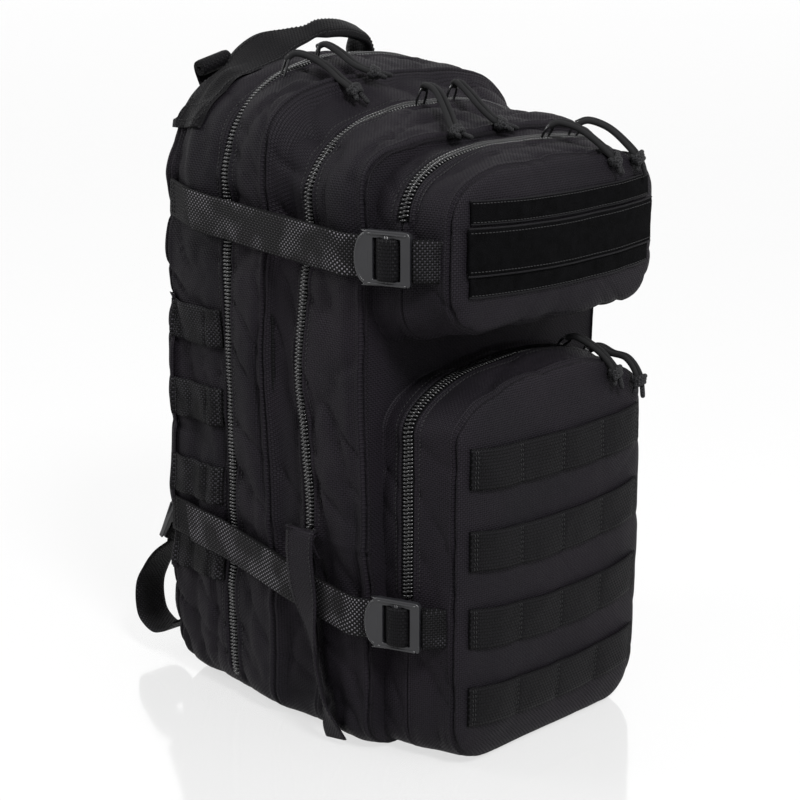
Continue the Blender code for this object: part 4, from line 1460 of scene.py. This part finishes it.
def keeper(sign, side):
    """Loop round the lower strap that narrows to the bottom seam."""
    name = f"keeper_strap_{side}"
    route = ((109.5, -45, 118), (112.5, -44, 124), (114.8, -44, 131), (114.6, -44.5, 137), (116.5, -45, 134),
             (117.0, -45, 120), (116.6, -46.5, 104), (115.4, -48, 90), (113.6, -51, 70), (112.4, -55, 48),
             (111.4, -60, 28), (109.6, -64, 12), (107.0, -66, 3))
    line = smooth_path(np.array([(sign * x, y, z) for x, y, z in route]) * MM, 1.6 * MM)
    share = np.linspace(0, 1, len(line))
    width = (24 - 7 * smooth(0.35, 0.75, share) + 3 * smooth(0.85, 1, share)) * MM
    twist = 0.75 * smooth(0.35, 0.7, share) * (1 - smooth(0.8, 1.0, share))
    along = unit(np.gradient(line, axis=0))
    outward = np.cross(along, (0, 1.0, 0)) * -sign
    outward *= np.sign(outward[len(line) // 2, 0]) * sign
    outward = unit(outward)
    outward = unit(outward * np.cos(twist)[:, None] + np.cross(along, outward) * np.sin(twist)[:, None])
    verts, faces, coords = ribbon(line, outward, width, 1.5 * MM, 12)
    piece = make_mesh(f"{name}_band", verts, faces, SHELL, coords)
    fit(piece, "webbing", name)
    grid = verts.reshape(len(line), 24, 3)
    lines = [(grid[6:-4, 1], outward[6:-4]), (grid[6:-4, 10], outward[6:-4])]
    joined_stitches(f"{name}_stitches", lines, body_of(name), "webbing")


def lie_on(points, outward, clear):
    """How far each point of a row moves along the direction to lie just above the body's cloth."""
    shift = np.full(len(points), np.nan)
    for j, point in enumerate(points):
        hit = BODY_TREE.ray_cast(Vector(point + outward * 30 * MM), Vector(-outward), 60 * MM)[0]
        if hit is not None:
            shift[j] = np.dot(np.array(hit) - point, outward) + clear
    known = ~np.isnan(shift)
    if not known.any():
        return np.zeros(len(points))
    index = np.arange(len(points))
    filled = np.interp(index, index[known], shift[known])
    beyond = np.abs(index - np.clip(index, index[known].min(), index[known].max()))
    return np.maximum(filled, np.median(shift[known]) - 6 * MM) - beyond * 0.7 * MM


def carry_handle():
    """Soft flat handle that arches over the top, folded and sewn down at both ends."""
    route = [(-104, 80, 371), (-101, 80, 379), (-92, 79, 387), (-80, 78, 393), (-66, 77, 399), (-52, 76, 405),
             (-38, 75, 412), (-24, 74, 418), (-10, 73, 421), (4, 72, 423.5), (18, 71, 425), (32, 71, 424),
             (46, 72, 420), (60, 75, 413), (74, 77, 403), (86, 78, 393), (97, 79, 380)]
    line = smooth_path(np.array(route) * MM, 2.0 * MM)
    x = line[:, 0] / MM
    width = (43 - 6 * smooth(-90, -50, x) * (1 - smooth(60, 90, x))
             - 16 * smooth(-45, -2, x) * (1 - smooth(45, 80, x)) - 5 * bell(x, 3, 7)) * MM
    thick = (2.6 + 4.6 * smooth(-2, 14, x) * (1 - smooth(45, 70, x))) * MM
    along = unit(np.gradient(line, axis=0))
    outward = unit(np.cross((0, 1.0, 0), along))
    outward *= np.sign(outward[len(line) // 2, 2])
    tilt = -0.42 * smooth(-60, -25, x) * (1 - smooth(55, 80, x))
    outward = unit(outward + np.array((0, 1.0, 0)) * tilt[:, None])
    settled = smooth(46, 64, np.abs(x))
    across = unit(np.cross(along, outward))
    v = np.linspace(-0.5, 0.5, 14)
    dome = (1 - np.abs(v * 2) ** 6) * 0.5
    rows = []
    for i in range(len(line)):
        flat = line[i] + across[i] * (v * width[i])[:, None]
        half = outward[i] * (dome * thick[i])[:, None]
        top, low = flat + half, flat - half
        if settled[i] > 0:
            shift = lie_on(flat, outward[i], 1.6 * MM) * settled[i]
            top, low = top + outward[i] * shift[:, None], low + outward[i] * shift[:, None]
        rows.append(np.vstack([top, low[::-1]]))
    loops = np.array(rows)
    loops = loops + outward[:, None] * (0.35 * MM * noise(loops, (0.018, 0.010, 0.018), 6))[..., None]
    steps = steps_along(line)
    weave = np.zeros(loops.shape)
    weave[..., 0] = steps[:, None]
    weave[..., 1] = np.r_[v, v[::-1]][None] * width[:, None]
    faces = ring_faces(*loops.shape[:2]) + end_faces(*loops.shape[:2])
    piece = make_mesh("carry_handle_band", loops.reshape(-1, 3), faces, WEB, weave.reshape(-1, 3))
    fit(piece, "webbing", "carry_handle")
    lines = [(loops[2:-2, column], outward[2:-2]) for column in (1, 12)]
    lines += [(loops[i, 1:13], np.tile(outward[i], (12, 1))) for i in (3, 11, -14, -6)]
    joined_stitches("carry_handle_stitches", lines, "back", "webbing", spacing=3.2 * MM)


def rolled_end():
    """Spare end of a shoulder strap's webbing, rolled up and held by a stitched stem."""
    centre, radius = np.array((-57, 99, 405)) * MM, 5.0 * MM
    along_roll, back, up = np.array([(0.97, 0, 0.24), (0, 1.0, 0), (-0.24, 0, 0.97)])
    t = np.linspace(0, 6 * math.pi, 96)
    r = radius * (0.30 + 0.70 * t / t[-1])
    spiral = centre + back * (r * np.cos(t))[:, None] - up * (r * np.sin(t))[:, None]
    drops = ((4.9, 3), (4.4, 7), (3.2, 11), (2.6, 15))
    stem = np.array([centre + (back * a - up * b) * MM for a, b in drops])
    line = smooth_path(np.vstack([spiral, stem])[::2], 1.2 * MM)
    along = unit(np.gradient(line, axis=0))
    outward = unit(np.cross(along_roll, along))
    piece = ribbon_piece("rolled_strap_end", line, outward, 24.5 * MM, 1.5 * MM, WEB, 12)
    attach(piece, "back")


for sign, side in LEFT_RIGHT:
    keeper(sign, side)
carry_handle()
rolled_end()


# ---- Back padding and shoulder straps ----

def swell(piece, cap, pressure=4.0, voxel=5 * MM):
    """Blows a pad up as cloth, then moves its own fine mesh by as much as the cloth moved."""
    scene = bpy.context.scene
    blown = piece.copy()
    blown.data = piece.data.copy()
    scene.collection.objects.link(blown)
    remesh = blown.modifiers.new("remesh", "REMESH")
    remesh.mode = "VOXEL"
    remesh.voxel_size = voxel
    apply_modifiers(blown)
    before = np.array([v.co for v in blown.data.vertices])
    cloth = blown.modifiers.new("cloth", "CLOTH")
    cloth.settings.use_pressure = True
    cloth.settings.uniform_pressure_force = pressure
    cloth.settings.effector_weights.gravity = 0
    cloth.settings.tension_stiffness = 25
    cloth.settings.compression_stiffness = 25
    cloth.point_cache.frame_start = 1
    cloth.point_cache.frame_end = 16
    for at in range(1, 17):
        scene.frame_set(at)
    apply_modifiers(blown)
    after = np.array([v.co for v in blown.data.vertices])
    moved = after - before
    length = np.linalg.norm(moved, axis=1, keepdims=True)
    moved *= np.minimum(1, cap / np.maximum(length, 1e-9))
    bpy.data.objects.remove(blown)
    scene.frame_set(1)
    tree = kd_of(before)
    own = np.array([v.co for v in piece.data.vertices])
    for i, co in enumerate(own):
        near = tree.find_n(co, 6)
        weights = np.array([1 / (d + 1 * MM) for _, _, d in near])
        own[i] = co + (moved[[n for _, n, _ in near]] * weights[:, None]).sum(0) / weights.sum()
    piece.data.vertices.foreach_set("co", own.ravel())
    piece.data.update()


def apply_modifiers(piece):
    """Replaces the piece's mesh by the one that its modifiers make."""
    graph = bpy.context.evaluated_depsgraph_get()
    mesh = bpy.data.meshes.new_from_object(piece.evaluated_get(graph))
    piece.modifiers.clear()
    piece.data = mesh


def kd_of(points):
    tree = KDTree(len(points))
    for i, p in enumerate(points):
        tree.insert(p, i)
    tree.balance()
    return tree


PAD_KEYS = ((90, 74, 376, 340, 3.0, 22, 20), (120, 74, 376, 340, 3.0, 22, 20))
LUMBAR_KEYS = ((90, 48, 84, 70, 3.0, 27, 12), (120, 48, 84, 70, 3.0, 27, 12))


def upright(loop, y):
    """Loop of (x, z) as points at depth y."""
    return np.c_[loop[:, 0], np.full(len(loop), y), loop[:, 1]]


def pad_piece(name, keys, low, high, depth, look):
    """Closed pad on the back: a rounded edge and a face whose depth a function gives."""
    edge = outline(keys, 100 * MM)
    turn = np.linspace(0, math.pi / 2, 6)
    rows = []
    radius = (high - low) * 0.45
    for a in turn:
        inset = radius * (1 - math.cos(a))
        ring = outline(keys, 100 * MM, inset * MM)
        rows.append(upright(ring, (high - radius + radius * math.sin(a)) * MM))
    base = upright(edge, low * MM)
    inner = outline(keys, 100 * MM, 30 * MM if keys is PAD_KEYS else 20 * MM)
    backing = upright(inner, low * MM)
    loops = np.array([backing, base, *rows])
    loops = np.concatenate([loops, cap_rows(loops[-1], depth, 2.8)[0]])
    weave = flat_weave(loops)
    count = len(loops)
    verts = np.vstack([loops.reshape(-1, 3), [loops[-1].mean(0)], [backing.mean(0)]])
    coords = np.vstack([weave.reshape(-1, 3), [weave[-1].mean(0)], [weave[0].mean(0)]])
    faces = ring_faces(count, AROUND, 0, True)
    last = (count - 1) * AROUND
    for i in range(AROUND):
        j = (i + 1) % AROUND
        faces.append((last + j, last + i, count * AROUND))
        faces.append((i, j, count * AROUND + 1))
    return make_mesh(name, verts, faces, look, coords)


def back_face(loop, inset, edge_y):
    """Face of the back pad: cushions between sewn channels."""
    x, z = loop[:, 0] / MM, loop[:, 2] / MM
    channels = -2.0 * (bell(x, 0, 5) + bell(z, 100, 2.4) + bell(z, 192, 2.4) + bell(z, 284, 2.4))
    puffed = 0.5 * noise(loop, (0.03, 0.03, 0.03), 12)
    return edge_y + (0.2 + np.maximum(channels, -2.4) + puffed * min(1, inset / 6)) * MM


def lumbar_depth(loop, inset, edge_y):
    return edge_y + (0.35 * (1 - math.exp(-inset / 5)) + 0.25 * noise(loop, (0.03, 0.03, 0.02), 13)) * MM


def back_padding():
    """The back pad and the lumbar cushion."""
    pad = pad_piece("back_pad_cushion", PAD_KEYS, 99.5, 106.6, back_face, MESH_CLOTH)
    swell(pad, 1.0 * MM)
    fit(pad, "padding", "back_pad")
    lumbar = pad_piece("lumbar_cushion", LUMBAR_KEYS, 103.5, 108.2, lumbar_depth, MESH_CLOTH)
    fit(lumbar, "padding", body="back")


# Routes in mm of a shoulder strap, top to bottom, and of the webbing loop below its lock
STRAP_ROUTE = ((40, 114.5, 368), (42, 116, 330), (44, 117, 270), (46, 117, 200), (53, 118, 150),
               (62, 121, 112))
LOOP_ROUTE = ((78, 143, 63), (81, 149, 52), (84, 151, 42), (86, 149, 30), (88, 142, 21), (90, 126, 17),
              (90, 112, 22), (90, 103, 30))


def shoulder_strap(sign, side):
    """Padded strap that lies on the back, webbing sewn down its middle, and the adjusting webbing below."""
    name = f"shoulder_strap_{side}"
    line = smooth_path(np.array([(sign * x, y, z) for x, y, z in STRAP_ROUTE]) * MM, 2.6 * MM)
    along = unit(np.gradient(line, axis=0))
    outward = unit(np.cross(along, (sign, 0, 0)))
    outward *= np.sign(outward[:, 1])[:, None]
    across = np.cross(outward, along)
    steps = np.linspace(0, run_length(line), len(line))
    ends = np.minimum(steps, steps[-1] - steps) / MM
    width = 52 * (0.72 + 0.28 * smooth(0, 14, ends) ** 0.5)
    thick = 11.4 * (0.35 + 0.65 * smooth(0, 9, ends) ** 0.6)
    turn = np.linspace(0, 2 * math.pi, 56, endpoint=False)
    wide = np.sign(np.cos(turn)) * np.abs(np.cos(turn)) ** 0.55
    high = np.sign(np.sin(turn)) * np.abs(np.sin(turn)) ** 0.75
    channel = 1 - 0.12 * bell(np.abs(wide), 0.84, 0.05)[None] - 0.05 * bell(wide, 0, 0.42)[None]
    loops = (line[:, None] + across[:, None] * (wide[None] * width[:, None] / 2 * MM)[..., None]
             + outward[:, None] * (high[None] * channel * thick[:, None] / 2 * MM)[..., None])
    loops = loops + outward[:, None] * (0.45 * MM * noise(loops, (0.03, 0.02, 0.045), 14))[..., None]
    weave = np.zeros(loops.shape)
    weave[..., 0] = steps[:, None]
    weave[..., 1] = (wide[None] * width[:, None] / 2 + high[None] * 4) * MM
    faces = ring_faces(*loops.shape[:2]) + end_faces(*loops.shape[:2])
    pad = make_mesh(f"{name}_pad", loops.reshape(-1, 3), faces, MESH_CLOTH, weave.reshape(-1, 3))
    swell(pad, 0.8 * MM)
    fit(pad, "padding", name)
    binding = merged_mesh(f"{name}_binding", [tube(loops[2:-2, edge], 2.0 * MM, 10) for edge in (0, 28)], WEB)
    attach(binding, "back")
    raised = line + outward * ((thick / 2 + 1.0) * MM)[:, None]
    web_line = np.vstack([raised[3:-2], np.array([(sign * 66, 126.5, 107)]) * MM])
    web_line = smooth_path(web_line[::3], 2 * MM)
    web_out = square_to(web_line, (sign, 0, 0))
    web_out *= np.sign(web_out[:, 1])[:, None]
    band = ribbon_piece(f"{name}_webbing", web_line, web_out, 24 * MM, 1.5 * MM, WEB_SIDE)
    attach(band, "back")
    sewn = []
    for z in (348, 300, 245, 190, 150):
        i = int(np.argmin(np.abs(web_line[:, 2] - z * MM)))
        side_way = unit(np.cross(web_out[i], unit(web_line[i + 1] - web_line[i - 1])))
        rows = web_line[i] + side_way * np.linspace(-11, 11, 12)[:, None] * MM + web_out[i] * 0.8 * MM
        sewn.append((rows, np.tile(web_out[i], (12, 1))))
        sewn.append((rows + np.array((0, 0, 3 * MM)), np.tile(web_out[i], (12, 1))))
    joined_stitches(f"{name}_stitches", sewn, "back", "webbing")
    world = ladder_lock(f"shoulder_ladder_lock_{side}", (sign * 68, 124.5, 105), (sign * 68, 135, 84),
                        (0, 1, 0.5))
    through = [(9, -2.8), (5.2, -0.8), *OVER_THE_BARS, (19.5, -1.5), (26, -3.2), (36, -3.4)]
    inner = np.array([world(a, 0, n) for a, n in through])
    loop = np.array([(sign * x, y, z) for x, y, z in LOOP_ROUTE]) * MM
    low = smooth_path(np.vstack([inner, loop]), 1.6 * MM)
    low_out = square_to(low, (sign, 0, 0.0))
    low_out *= np.sign((low_out * (low - np.array((0, 110, 60)) * MM))[6:-6].sum(1).mean())
    for i in range(1, len(low_out)):
        if np.dot(low_out[i], low_out[i - 1]) < 0:
            low_out[i] *= -1
    lower = ribbon_piece(f"shoulder_webbing_{side}_band", low, low_out, 24.4 * MM, 1.5 * MM, WEB_SIDE)
    fit(lower, "webbing", f"shoulder_webbing_{side}")


# ---- Inside ----

def inside():
    """Divider with elastic loops, the flat sleeve and the gussets below the middle zipper."""
    def flat_depth(y):
        def depth(loop, inset, edge_y):
            return np.full(len(loop), y * MM) + 0.5 * noise(loop, (0.05, 0.05, 0.05), 21) * MM
        return depth

    for name, keys, y, node_y, inset in (("divider_panel", BODY_KEYS, PIPING, PIPING, 4.6),
                                         ("inner_sleeve", SLEEVE_KEYS, 84.6, 100, 0)):
        edge = outline(keys, node_y * MM, inset * MM)
        loops = np.array([upright(edge, (y + 0.9) * MM), upright(edge, (y - 0.9) * MM)])
        front, _ = cap_rows(loops[-1], flat_depth(y - 0.9), 6.0)
        back, _ = cap_rows(loops[0], flat_depth(y + 0.9), 6.0)
        loops = np.concatenate([back[::-1], loops, front])
        weave = flat_weave(loops)
        count = len(loops)
        verts = np.vstack([loops.reshape(-1, 3), [loops[0].mean(0)], [loops[-1].mean(0)]])
        faces = ring_faces(count, AROUND, 0)
        last = (count - 1) * AROUND
        for i in range(AROUND):
            j = (i + 1) % AROUND
            faces.append((j, i, count * AROUND))
            faces.append((last + i, last + j, count * AROUND + 1))
        coords = np.vstack([weave.reshape(-1, 3), np.zeros((2, 3))])
        sheet = make_mesh(f"{name}_cloth", verts, faces, LINING, coords)
        fit(sheet, "lining", name)
        rim = upright(np.vstack([edge, edge[:1]]), y * MM)
        binding = merged_mesh(f"{name}_binding", [tube(rim[::3], 1.5 * MM, 8)], WEB)
        fit(binding, "lining", body=body_of(name))
    for row, z in enumerate((95, 175, 255)):
        run = np.linspace(-80, 80, 161)
        rise = 7.5 * np.abs(np.sin(math.pi * run / 32)) ** 0.8
        line = np.c_[run, -11.2 - rise, np.full(len(run), float(z))] * MM
        outward = np.tile((0, -1.0, 0), (len(run), 1))
        elastic = ribbon_piece(f"divider_elastic_{row + 1}", line, outward, 30 * MM, 1.2 * MM, WEB, 8)
        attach(elastic, "middle")
    for sign, side in LEFT_RIGHT:
        heights = np.linspace(4, 131, 44)
        depths = np.linspace(-37.5, -48.5, 12)
        verts = []
        for z in heights:
            for y in depths:
                hit, _ = drop(BODY_TREE, np.array((sign * 105, y, z)) * MM, (-sign, 0, 0))
                verts.append((hit[0] - sign * 3.0 * MM, hit[1], z * MM))
        verts = np.array(verts)
        skin = np.vstack([verts, verts - (sign * 0.8 * MM, 0, 0)])
        rows, columns, total = len(heights), len(depths), len(verts)
        faces = []
        for layer in (0, 1):
            for r in range(rows - 1):
                for c in range(columns - 1):
                    a = layer * total + r * columns + c
                    quad = (a, a + 1, a + columns + 1, a + columns)
                    faces.append(quad if (layer == 0) == (sign < 0) else quad[::-1])
        rim = (list(range(columns)) + [r * columns + columns - 1 for r in range(1, rows)]
               + [(rows - 1) * columns + c for c in range(columns - 2, -1, -1)]
               + [r * columns for r in range(rows - 2, 0, -1)])
        for a, b in zip(rim, rim[1:] + rim[:1]):
            quad = (a, a + total, b + total, b)
            faces.append(quad if sign < 0 else quad[::-1])
        weave = np.c_[skin[:, 1], skin[:, 2], skin[:, 0] * 0]
        gusset = make_mesh(f"middle_gusset_{side}", skin, faces, LINING, weave)
        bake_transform(gusset)


SLEEVE_KEYS = ((90, 88, 250, 235, 4.0, 18, 12), (120, 88, 250, 235, 4.0, 18, 12))
MESH_CLOTH = oxford_cloth("padding_cloth", (0.0080, 0.0080, 0.0086), 1.9)
back_padding()
for sign, side in LEFT_RIGHT:
    shoulder_strap(sign, side)
inside()
for front, lid, fold in SOFT_FRONTS:
    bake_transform(front)
